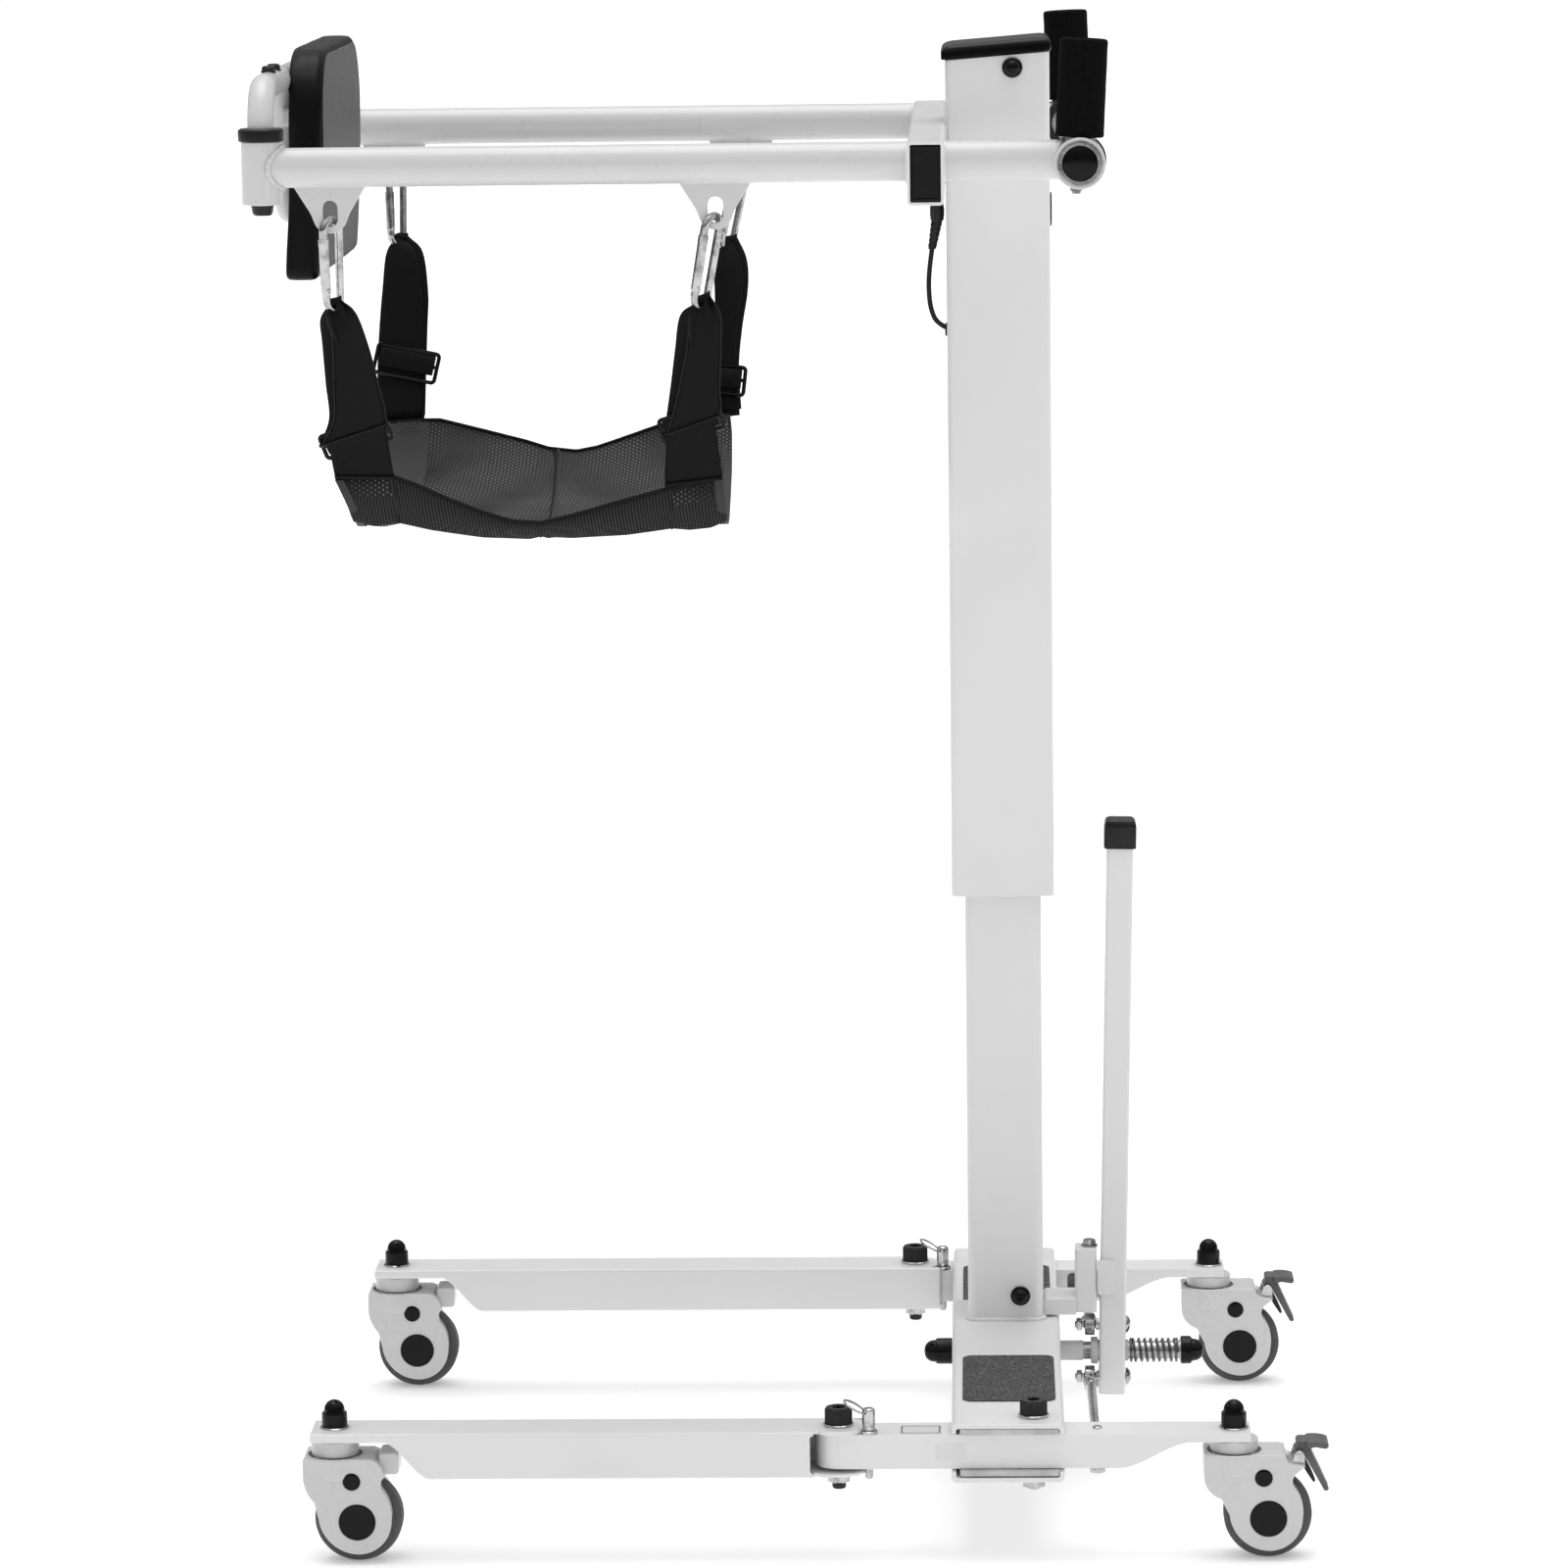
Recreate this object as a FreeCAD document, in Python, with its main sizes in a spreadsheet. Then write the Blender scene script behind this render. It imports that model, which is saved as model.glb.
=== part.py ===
"""Sit to stand lift: telescopic column on a base with folding legs, arms with a sling and a back pad gate."""
import FreeCAD, Part
import math
import os
import re
from FreeCAD import Placement, Rotation, Vector

doc = FreeCAD.newDocument("sit_to_stand_lift")

# ---------------------------------------------------------------- driving dimensions, millimetres

DIMENSIONS = [
    ("column_x", 178, "column axis"),
    ("outer_side", 90, "outer column tube, across"),
    ("inner_side", 67, "inner column tube, across"),
    ("column_wall", 4, "both column tubes"),
    ("outer_bottom", 526, "lower end of the outer tube"),
    ("outer_top", 1260, "upper end of the outer tube"),
    ("inner_bottom", 140, "inner tube stands on the saddle"),
    ("inner_top", 900, "upper end of the inner tube"),
    ("cap_height", 13, "column cap above the tube"),
    ("bolt_x", 191, "actuator axis and its two cross bolts"),
    ("lower_bolt_z", 163, "bolt through the inner tube"),
    ("upper_bolt_z", 1243, "bolt through the outer tube"),
    ("beam_width", 96, "base crossbeam along X"),
    ("beam_half", 322, "base crossbeam, half length along Y"),
    ("beam_bottom", 71, "underside of the crossbeam"),
    ("beam_top", 122, "top of the crossbeam"),
    ("beam_wall", 4, "crossbeam wall"),
    ("leg_offset", 295, "legs' centre lines from the middle"),
    ("leg_top", 115, "top of the front leg sections"),
    ("front_leg_wide", 50, "front leg tube along Y"),
    ("front_leg_tall", 40, "front leg tube along Z"),
    ("leg_wall", 3, "leg tube wall"),
    ("rear_leg_wide", 40, "rear leg tube along Y"),
    ("rear_leg_tall", 30, "rear leg tube along Z"),
    ("rear_leg_top", 111.5, "top of the rear leg sections"),
    ("plate_thick", 8, "flat leg ends over the casters"),
    ("front_caster_x", -396, "front caster swivel axis"),
    ("rear_caster_x", 370, "rear caster swivel axis"),
    ("pivot_x", 200, "leg pivot bolts"),
    ("left_hinge_x", 34, "fold hinge of the left front leg"),
    ("right_hinge_x", 94, "fold hinge of the right front leg"),
    ("stud_x", 254, "tie rod studs in the legs"),
    ("wheel_radius", 37.5, "casters"),
    ("wheel_wide", 23, "casters"),
    ("front_trail", 19.5, "front wheel axle behind its swivel axis"),
    ("rear_trail", 28.4, "rear wheel axle behind its swivel axis"),
    ("housing_wide", 46, "caster housing along Y"),
    ("arm_z", 1187, "centre line of the arms"),
    ("arm_radius", 16.5, "arm tubes"),
    ("arm_half", 295, "arms from the middle"),
    ("sleeve_x", -431, "vertical sleeves at the arms' front ends"),
    ("handle_x", 247, "handle tubes and grips"),
    ("handle_radius", 20, "handle tubes and grips"),
    ("cross_x", 118.5, "centre of the cross tube"),
    ("cross_wide", 29, "cross tube along X"),
    ("cross_bottom", 1150, "cross tube"),
    ("cross_top", 1200, "cross tube"),
    ("cross_half", 320, "cross tube, half length"),
    ("front_hanger_x", -375, "front sling hangers"),
    ("rear_hanger_x", -56, "rear sling hangers"),
    ("hanger_thick", 5, "sling hanger plate"),
    ("post_radius", 11, "back pad frame tube"),
    ("gate_top", 1268, "upper rail of the back pad frame"),
    ("gate_low", 1120, "lower rail of the back pad frame"),
    ("pad_back", -418, "back face of the pad"),
    ("pad_thick", 30, "pad"),
    ("pad_half", 170, "pad, half width"),
    ("pad_bottom", 1085, "pad"),
    ("pad_top", 1285, "pad"),
    ("pad_corner", 38, "corner radius of the pad"),
    ("shaft_z", 104, "lever shaft"),
    ("lever_x", 273, "lever at the shaft"),
    ("lever_side", 23.5, "lever tube, across"),
    ("lever_bottom", 66, "lever tube"),
    ("lever_top", 562, "lever tube"),
    ("lever_lean", 1.1, "degrees that the lever leans back"),
    ("rod_drop", 24, "tie rod bolts above and below the shaft"),
    ("rod_x", 253, "tie rod ends at the lever"),
    ("stud_z", 96.5, "tie rod eyes in the legs"),
    ("seat_front", -386, "sling seat"),
    ("seat_rear", -54, "sling seat"),
    ("seat_half", 240, "sling seat, half width"),
    ("seat_low", 859, "lowest line of the sling seat"),
]
ALIASES = {alias for alias, _, _ in DIMENSIONS}

sheet = doc.addObject("Spreadsheet::Sheet", "Dims")
for row, (alias, value, note) in enumerate(DIMENSIONS, start=1):
    sheet.set(f"A{row}", note)
    sheet.set(f"B{row}", str(value))
    sheet.setAlias(f"B{row}", alias)
doc.recompute()


def dim(alias):
    """One driving dimension as a number."""
    return float(getattr(sheet, alias))


# ---------------------------------------------------------------- small modelling helpers

NODES = {}
AXIS_TURN = {
    "x": Rotation(Vector(0, 1, 0), 90),
    "y": Rotation(Vector(1, 0, 0), -90),
    "z": Rotation(),
}


def bind(obj, prop, value):
    """Bind a property to an expression written with the sheet's bare aliases."""
    text = re.sub(r"[A-Za-z_]\w*", lambda m: "Dims." + m[0] if m[0] in ALIASES else m[0], str(value))
    obj.setExpression(prop, text)


def place(obj, x, y, z):
    """Bind the base point of an object's Placement."""
    for axis, value in (("x", x), ("y", y), ("z", z)):
        bind(obj, f"Placement.Base.{axis}", value)


def box(x_span, y_span, z_span):
    """A box between two values on each axis."""
    obj = doc.addObject("Part::Box", "block")
    for prop, (low, high) in zip(("Length", "Width", "Height"), (x_span, y_span, z_span)):
        bind(obj, prop, f"({high}) - ({low})")
    place(obj, x_span[0], y_span[0], z_span[0])
    return obj


def rod(axis, span, across, radius):
    """A cylinder along an axis; across holds the other two coordinates in X, Y, Z order."""
    obj = doc.addObject("Part::Cylinder", "round")
    obj.Placement = Placement(Vector(), AXIS_TURN[axis])
    bind(obj, "Radius", radius)
    bind(obj, "Height", f"({span[1]}) - ({span[0]})")
    point = list(across)
    point.insert("xyz".index(axis), span[0])
    place(obj, *point)
    return obj


def cone(axis, span, across, radii):
    """A cone between two radii, placed as rod places a cylinder."""
    obj = doc.addObject("Part::Cone", "taper")
    obj.Placement = Placement(Vector(), AXIS_TURN[axis])
    bind(obj, "Radius1", radii[0])
    bind(obj, "Radius2", radii[1])
    bind(obj, "Height", f"({span[1]}) - ({span[0]})")
    point = list(across)
    point.insert("xyz".index(axis), span[0])
    place(obj, *point)
    return obj


def ball(x, y, z, radius):
    obj = doc.addObject("Part::Sphere", "ball")
    bind(obj, "Radius", radius)
    place(obj, x, y, z)
    return obj


def fuse(*shapes):
    obj = doc.addObject("Part::MultiFuse", "joined")
    obj.Shapes = list(shapes)
    return obj


def cut(base, *tools):
    obj = doc.addObject("Part::Cut", "cut")
    obj.Base = base
    obj.Tool = tools[0] if len(tools) == 1 else fuse(*tools)
    return obj


def group(*shapes):
    """Separate solids that share one node."""
    obj = doc.addObject("Part::Compound", "set")
    obj.Links = list(shapes)
    return obj


def ring(axis, span, across, outer, inner):
    """A washer, bush or round tube."""
    longer = (f"({span[0]}) - 1", f"({span[1]}) + 1")
    return cut(rod(axis, span, across, outer), rod(axis, longer, across, inner))


def solid(shape, name="form"):
    """A Part::Feature that holds a shape made with Part's own functions."""
    obj = doc.addObject("Part::Feature", name)
    obj.Shape = shape
    return obj


def node(label, obj):
    """Give a finished sub-part its name."""
    obj.Label = label
    NODES[label] = obj
    return obj


def profile(plane, edges, length, x=0, y=0, z=0):
    """A PartDesign body: a sketched outline on an origin plane, padded evenly to both sides."""
    body = doc.addObject("PartDesign::Body", "Body")
    sketch = body.newObject("Sketcher::SketchObject", "Sketch")
    origin_plane = [o for o in body.Origin.OriginFeatures if o.Role == plane][0]
    sketch.AttachmentSupport = [(origin_plane, "")]
    sketch.MapMode = "FlatFace"
    for edge in edges:
        sketch.addGeometry(edge, False)
    pad = body.newObject("PartDesign::Pad", "Pad")
    pad.Profile = sketch
    pad.SideType = "Symmetric"
    bind(pad, "Length", length)
    place(body, x, y, z)
    return body


def outline(points):
    """A closed outline: each item is (x, y), or (mid, end) for an arc through mid to end."""
    start = Vector(*points[0], 0)
    edges, here = [], start
    for item in list(points[1:]) + [points[0]]:
        if isinstance(item[0], tuple):
            mid, end = Vector(*item[0], 0), Vector(*item[1], 0)
            edges.append(Part.Arc(here, mid, end))
            here = end
        elif (Vector(*item, 0) - here).Length > 1e-6:
            edges.append(Part.LineSegment(here, Vector(*item, 0)))
            here = Vector(*item, 0)
    return edges


def filleted_path(points, radii):
    """A wire of straight runs joined by tangent arcs of the given radii."""
    edges, here = [], points[0]
    for i, radius in enumerate(radii, start=1):
        corner = points[i]
        before = (points[i - 1] - corner).normalize()
        after = (points[i + 1] - corner).normalize()
        half = before.getAngle(after) / 2
        reach = radius / math.tan(half)
        start, end = corner + before * reach, corner + after * reach
        middle = corner + (before + after).normalize() * (radius / math.sin(half) - radius)
        edges.append(Part.LineSegment(here, start).toShape())
        edges.append(Part.Arc(start, middle, end).toShape())
        here = end
    edges.append(Part.LineSegment(here, points[-1]).toShape())
    return Part.Wire(edges)


def pipe(wire, radius):
    """A round bar swept along a wire."""
    start = wire.Edges[0]
    tangent = start.tangentAt(start.FirstParameter)
    circle = Part.Wire(Part.Circle(start.valueAt(start.FirstParameter), tangent, radius).toShape())
    swept = wire.makePipeShell([circle], True, True)
    return swept


def tube(wire, outer, inner):
    """A hollow round tube swept along a wire."""
    return pipe(wire, outer).cut(pipe(wire, inner))


SIDES = (("left", -1), ("right", 1))


# ---------------------------------------------------------------- base

def beam_x(sign, inset=0):
    return f"column_x {'-' if sign < 0 else '+'} (beam_width / 2 - {inset})"


def base_crossbeam():
    """Rectangular tube with a raised saddle; its ends are open so that the legs can swing."""
    outside = box((beam_x(-1), beam_x(1)), ("-beam_half", "beam_half"), ("beam_bottom", "beam_top"))
    inside = box((beam_x(-1, "beam_wall"), beam_x(1, "beam_wall")), ("-beam_half - 1", "beam_half + 1"),
                 ("beam_bottom + beam_wall", "beam_top - beam_wall"))
    # the side walls stop short of the legs: only the top and bottom walls hold them
    mouths = [
        box((beam_x(-1, -1), beam_x(1, -1)), ((f"{s} * 295 - 40"), (f"{s} * 295 + 40")),
            ("beam_bottom + beam_wall", "beam_top - beam_wall"))
        for s in (-1, 1)
    ]
    top, low = dim("inner_bottom"), dim("beam_top")
    saddle = profile("YZ_Plane", outline([(-90, low), (90, low), (44, top), (-44, top)]),
                     "beam_width", x="column_x")
    shaft_hole = rod("x", (beam_x(-1, -1), beam_x(1, -1)), (0, "shaft_z"), 8.05)
    pivots = [rod("z", ("beam_bottom - 1", "beam_top + 1"), ("pivot_x", f"{s} * leg_offset"), 6.1)
              for s in (-1, 1)]
    node("base_crossbeam", cut(fuse(outside, saddle), inside, shaft_hole, *mouths, *pivots))


def grip_pads():
    """Two rounded anti-slip pads on top of the crossbeam, one each side of the column."""
    pads = []
    for s in (-1, 1):
        half_x, half_y, r = 40, 78, 9
        k = r * (1 - math.sqrt(0.5))
        points = [(half_x, -half_y + r), (half_x, half_y - r)]
        corners = [((half_x - k, half_y - k), (half_x - r, half_y))]
        points += [(corners[0][0], corners[0][1]), (-half_x + r, half_y)]
        points += [((-half_x + k, half_y - k), (-half_x, half_y - r)), (-half_x, -half_y + r)]
        points += [((-half_x + k, -half_y + k), (-half_x + r, -half_y)), (half_x - r, -half_y)]
        points += [((half_x - k, -half_y + k), (half_x, -half_y + r))]
        pads.append(profile("XY_Plane", outline(points), 1.2, x="column_x + 1.5", y=f"{s} * 169",
                            z="beam_top + 0.7"))
    node("grip_pads", group(*pads))


def square_tube(side, wall, span):
    """A vertical square tube round the column axis."""
    def across(centre, inset):
        return (f"{centre} - {side} / 2 + {inset}", f"{centre} + {side} / 2 - {inset}")
    outside = box(across("column_x", 0), across(0, 0), span)
    longer = (f"({span[0]}) - 1", f"({span[1]}) + 1")
    return cut(outside, box(across("column_x", wall), across(0, wall), longer))


def cross_bolt(z, half, radius=5):
    """Bolt along Y with washers, nut and two domed black caps outside a square tube."""
    at = ("bolt_x", z)
    shank = rod("y", (f"-({half}) - 6", f"({half}) + 6"), at, radius)
    parts = []
    for s in (-1, 1):
        low, high = sorted((s * 0.2, s * 6.8))
        span = (f"{s} * ({half}) + {low}", f"{s} * ({half}) + {high}")
        dome = ball("bolt_x", f"{s} * (({half}) + 4)", z, 8.4)
        trim = box(("bolt_x - 10", "bolt_x + 10"), (f"{s} * (({half}) + 6) - 6", f"{s} * (({half}) + 6) + 6"),
                   (f"{z} - 10", f"{z} + 10"))
        keep = doc.addObject("Part::MultiCommon", "cap")
        keep.Shapes = [dome, trim]
        parts.append(cut(fuse(rod("y", span, at, 8.3), keep), rod("y", (f"-({half}) - 6", f"({half}) + 6"),
                                                                   at, f"{radius}")))
    return group(shank, *parts)


def column():
    holes = rod("y", ("-50", "50"), ("bolt_x", "lower_bolt_z"), 5.05)
    node("column_inner_tube", cut(square_tube("inner_side", "column_wall", ("inner_bottom", "inner_top")), holes))
    node("column_lower_bolt", cross_bolt("lower_bolt_z", "inner_side / 2"))

    # four nylon pads at the top of the inner tube run inside the outer tube
    reach_in, reach_out = "inner_side / 2 + 0.05", "outer_side / 2 - column_wall - 0.35"
    def pads(low, high, near, far):
        items = []
        for s in (-1, 1):
            a, b = (near, far) if s > 0 else (f"-({far})", f"-({near})")
            items.append(box((f"column_x + {a}", f"column_x + {b}"), ("-24", "24"), (low, high)))
            items.append(box(("column_x - 24", "column_x + 24"), (a, b), (low, high)))
        return group(*items)
    node("inner_glides", pads("inner_top - 60", "inner_top - 5", reach_in, reach_out))
    node("outer_glides", pads("outer_bottom + 4", "outer_bottom + 59", "inner_side / 2 + 0.35",
                              "outer_side / 2 - column_wall - 0.05"))

    gland = rod("x", ("column_x - outer_side / 2 - 5", "column_x - outer_side / 2 + 8"), (-25, 1024), 6.05)
    upper = rod("y", ("-60", "60"), ("bolt_x", "upper_bolt_z"), 5.05)
    node("column_outer_tube", cut(square_tube("outer_side", "column_wall", ("outer_bottom", "outer_top")),
                                  upper, gland))
    node("mast_bolt", cross_bolt("upper_bolt_z", "outer_side / 2"))
    def across(centre, half):
        return (f"{centre} - ({half})", f"{centre} + ({half})")
    lid = box(across("column_x", "outer_side / 2 + 1.5"), across(0, "outer_side / 2 + 1.5"),
              ("outer_top + 0.1", "outer_top + cap_height"))
    plug = box(across("column_x", "outer_side / 2 - column_wall - 0.2"),
               across(0, "outer_side / 2 - column_wall - 0.2"), ("outer_top - 6", "outer_top + 1"))
    return fuse(lid, plug)


def actuator():
    """Gear motor and screw tube on the lower bolt, push rod on the upper bolt."""
    at = ("bolt_x", 0)
    screw_tube = rod("z", ("inner_bottom + 12", 660), at, 15)
    gearbox = box(("column_x - 28", "bolt_x + 15"), ("-15", "15"), (178, 214))
    motor = rod("z", (213, 350), ("column_x - 14.5", 0), 13.5)
    bore = rod("z", (186, 661), at, 11)
    eye = rod("y", ("-20", "20"), ("bolt_x", "lower_bolt_z"), 5.05)
    node("actuator_body", cut(fuse(screw_tube, gearbox, motor), bore, eye))
    push_rod = rod("z", (520, "upper_bolt_z + 9"), at, 10.4)
    rod_eye = rod("y", ("-20", "20"), ("bolt_x", "upper_bolt_z"), 5.05)
    node("actuator_rod", cut(push_rod, rod_eye))


def leg_bearings():
    """Sliding plates above and below each leg, and the bolts that the legs turn on."""
    plates, bolts = [], []
    for _, s in SIDES:
        hole = lambda: rod("z", ("beam_bottom", "beam_top"), ("pivot_x", f"{s} * leg_offset"), 6.1)
        spans = ((f"rear_leg_top + 0.3", "beam_top - beam_wall - 0.05"),
                 ("beam_bottom + beam_wall + 0.05", "rear_leg_top - rear_leg_tall - 0.3"))
        for span in spans:
            plates.append(cut(box(("column_x - 42", "column_x + 42"),
                                  (f"{s} * 295 - 26", f"{s} * 295 + 26"), span), hole()))
        at = ("pivot_x", f"{s} * leg_offset")
        shank = rod("z", ("beam_bottom - 11", "beam_top + 3"), at, 6)
        washer = rod("z", ("beam_top + 0.05", "beam_top + 2.5"), at, 13)
        head = rod("z", ("beam_top + 2", "beam_top + 15"), at, 11.7)
        socket = rod("z", ("beam_top + 9", "beam_top + 16"), at, 5)
        nut = rod("z", ("beam_bottom - 10", "beam_bottom - 0.05"), at, 10)
        bolts.append(cut(fuse(shank, washer, head, nut), socket))
    node("leg_bearing_plates", group(*plates))
    node("leg_pivot_bolts", group(*bolts))


# ---------------------------------------------------------------- legs

def leg_outline(tip_x, inner_x, top, tall, toward, curve):
    """Side view of a leg section: a flat plate over the caster that swells into the full tube."""
    plate = dim("plate_thick")
    low = top - tall
    x1, x2 = curve
    mid = ((x1 + x2) / 2 + toward * (x2 - x1) * toward * 0.12, (top - plate + low) / 2 + (tall - plate) * 0.13)
    return outline([(tip_x, top), (inner_x, top), (inner_x, low), (x2, low), (mid, (x1, top - plate)),
                    (tip_x, top - plate)])


def front_leg(name, s, hinge_x):
    """Front section: its outer wall is cut away round the hinge so that it folds outwards."""
    y = f"{s} * leg_offset"
    top, tall, wide = dim("leg_top"), dim("front_leg_tall"), dim("front_leg_wide")
    hx, tip, cx = dim(hinge_x), -415.5, dim("front_caster_x")
    body = profile("XZ_Plane", leg_outline(tip, hx, top, tall, -1, (cx + 45, cx + 81)), "front_leg_wide", y=y)
    ears = rod("z", ("leg_top - front_leg_tall", "leg_top"), (hinge_x, y), "front_leg_wide / 2")
    corner_x = (hinge_x, f"{hinge_x} + 24")
    wall_y = (f"{y} - {s} * 12.5 - 12.5", f"{y} - {s} * 12.5 + 12.5")
    inner_corner = box(corner_x, wall_y, ("leg_top - front_leg_tall", "leg_top"))
    hollow = box(("front_caster_x + 104", f"{hinge_x} + 30"),
                 (f"{y} - front_leg_wide / 2 + leg_wall", f"{y} + front_leg_wide / 2 - leg_wall"),
                 ("leg_top - front_leg_tall + leg_wall", "leg_top - leg_wall"))
    window = box((f"{hinge_x} - 24", f"{hinge_x} + 40"),
                 (f"{y} + {s} * 25 - 12", f"{y} + {s} * 25 + 12"),
                 ("leg_top - front_leg_tall + leg_wall", "leg_top - leg_wall"))
    # only the upright wall of the inner corner is kept beside the rear section's nose
    trim_y = (f"{y} - {s} * 9 - 13", f"{y} - {s} * 9 + 13")
    corner_trim = [
        cut(box((f"{hinge_x} + 1", f"{hinge_x} + 40"), trim_y, span),
            rod("z", (60, 130), (hinge_x, y), "front_leg_wide / 2"))
        for span in (("leg_top - front_leg_tall - 1", "leg_top - front_leg_tall + leg_wall"),
                     ("leg_top - leg_wall", "leg_top + 1"))
    ]
    # the left leg's outer edge is relieved where the quick pin stands when the leg is folded
    relief = cut(box((f"{hinge_x} - 21", hinge_x), (f"{y} + {s} * 25 - 6", f"{y} + {s} * 25 + 6"), (60, 130)),
                 rod("z", (59, 131), (hinge_x, y), 25.7))
    bolt_hole = rod("z", ("leg_top - 60", "leg_top + 10"), (hinge_x, y), 5.95)
    stem_hole = rod("z", ("leg_top - 60", "leg_top + 10"), ("front_caster_x", y), 5.95)
    cuts = [hollow, window, *corner_trim, bolt_hole, stem_hole] + ([relief] if s < 0 else [])
    node(f"{name}_front_leg", cut(fuse(body, ears, inner_corner), *cuts))
    # fold bolt through the ears, and the caster's stem with its domed cap
    at = (hinge_x, y)
    fold_bolt = cut(
        fuse(rod("z", ("leg_top - front_leg_tall - 15", "leg_top + 6"), at, 5.9),
             rod("z", ("leg_top + 0.05", "leg_top + 2"), at, 13),
             rod("z", ("leg_top + 1.5", "leg_top + 16"), at, 11.7),
             rod("z", ("leg_top - front_leg_tall - 9", "leg_top - front_leg_tall - 0.05"), at, 10)),
        rod("z", ("leg_top + 9", "leg_top + 17"), at, 5))
    stem = caster_stem("front_caster_x", y, "leg_top")
    node(f"{name}_front_bolts", group(fold_bolt, stem))


def caster_stem(x, y, top):
    """Threaded stem through the leg, the fixed neck ring below it and the domed cap on top."""
    at = (x, y)
    neck = rod("z", (97, f"{top} - plate_thick - 0.05"), at, 20.5)
    cap = rod("z", (f"{top} + 0.1", f"{top} + 12"), at, 10.3)
    return fuse(rod("z", (80, f"{top} + 13"), at, 5.9), neck, cap, ball(x, y, f"{top} + 13", 9.2))


def rear_leg(name, s, hinge_x):
    """Rear section: round nose in the front section's ears, pivot hole in the crossbeam's mouth."""
    y = f"{s} * leg_offset"
    top, tall, wide = dim("rear_leg_top"), dim("rear_leg_tall"), dim("rear_leg_wide")
    hx, cx = dim(hinge_x), dim("rear_caster_x")
    body = profile("XZ_Plane", leg_outline(cx + 14, hx, top, tall, 1, (cx - 39, cx - 95)), "rear_leg_wide", y=y)
    low = "rear_leg_top - rear_leg_tall"
    nose = rod("z", (low, "rear_leg_top"), (hinge_x, y), "rear_leg_wide / 2 - 0.5")
    hollow = box((f"{hinge_x} + 36", "rear_caster_x - 100"),
                 (f"{y} - rear_leg_wide / 2 + leg_wall", f"{y} + rear_leg_wide / 2 - leg_wall"),
                 (f"{low} + leg_wall", "rear_leg_top - leg_wall"))
    rod_window = box(("stud_x - 17", "stud_x + 17"), (f"{y} - {s} * 24 - 14", f"{y} - {s} * 24 + 14"),
                     (f"{low} + leg_wall", "rear_leg_top - leg_wall"))
    holes = [
        rod("z", (60, 130), (hinge_x, y), 5.95),
        rod("z", (60, 130), ("pivot_x", y), 6.05),
        rod("z", (60, 130), ("rear_caster_x", y), 5.95),
        rod("z", (60, 130), ("stud_x", y), 4.05),
        rod("z", (60, 130), (f"{hinge_x} + 26", f"{y} - 14"), 3.55),
    ]
    node(f"{name}_rear_leg", cut(fuse(body, nose), hollow, rod_window, *holes))
    stud = fuse(rod("z", ("rear_leg_top - rear_leg_tall - 3", "rear_leg_top + 1.5"), ("stud_x", y), 4),
                rod("z", ("rear_leg_top - rear_leg_tall - 6.5", "rear_leg_top - rear_leg_tall - 0.05"),
                    ("stud_x", y), 9))
    node(f"{name}_rear_bolts", group(stud, caster_stem("rear_caster_x", y, "rear_leg_top")))
    # quick-release pin just outside the ears, with its finger ring lying back on its head
    at = (f"{hinge_x} + 26", f"{y} - 14")
    pin = fuse(rod("z", (73, "leg_top + 2"), at, 3.5), rod("z", ("leg_top + 0.6", "leg_top + 19"), at, 5.3),
               rod("z", ("leg_top + 0.3", "leg_top + 2.3"), at, 7.5))
    loop = doc.addObject("Part::Torus", "loop")
    loop.Radius1, loop.Radius2 = 11.5, 1.1
    loop.Placement = Placement(Vector(), Rotation(Vector(0, 1, 0), 16))
    place(loop, f"{hinge_x} + 15", f"{y} - 14", "leg_top + 21.2")
    node(f"{name}_quick_pin", fuse(pin, loop))


# ---------------------------------------------------------------- casters

def housing_outline(trail, boss):
    """Side view of a caster housing about the wheel axle, as it sits over a trailing wheel."""
    left = -trail - 26
    points = [
        (left + 2, 55), ((left + 0.6, 54.4), (left, 53)), (left, 37),
        ((left + 3.5, 25), (-40 + (28.4 - trail) * 0.4, 17)), (-33, 3),
        ((-20.5, -20.5), (0, -28.5)), ((20.5, -20.5), (29, 0)), ((28, 16), (21.5, 28)),
        ((20.6, 33), (24, 39)),
    ]
    points += [(31.5, 45), (23, 46), ((18, 48), (15, 54)), (12, 55)] if boss else [(22, 47), (17, 53), (12, 55)]
    return outline(points)


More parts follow.
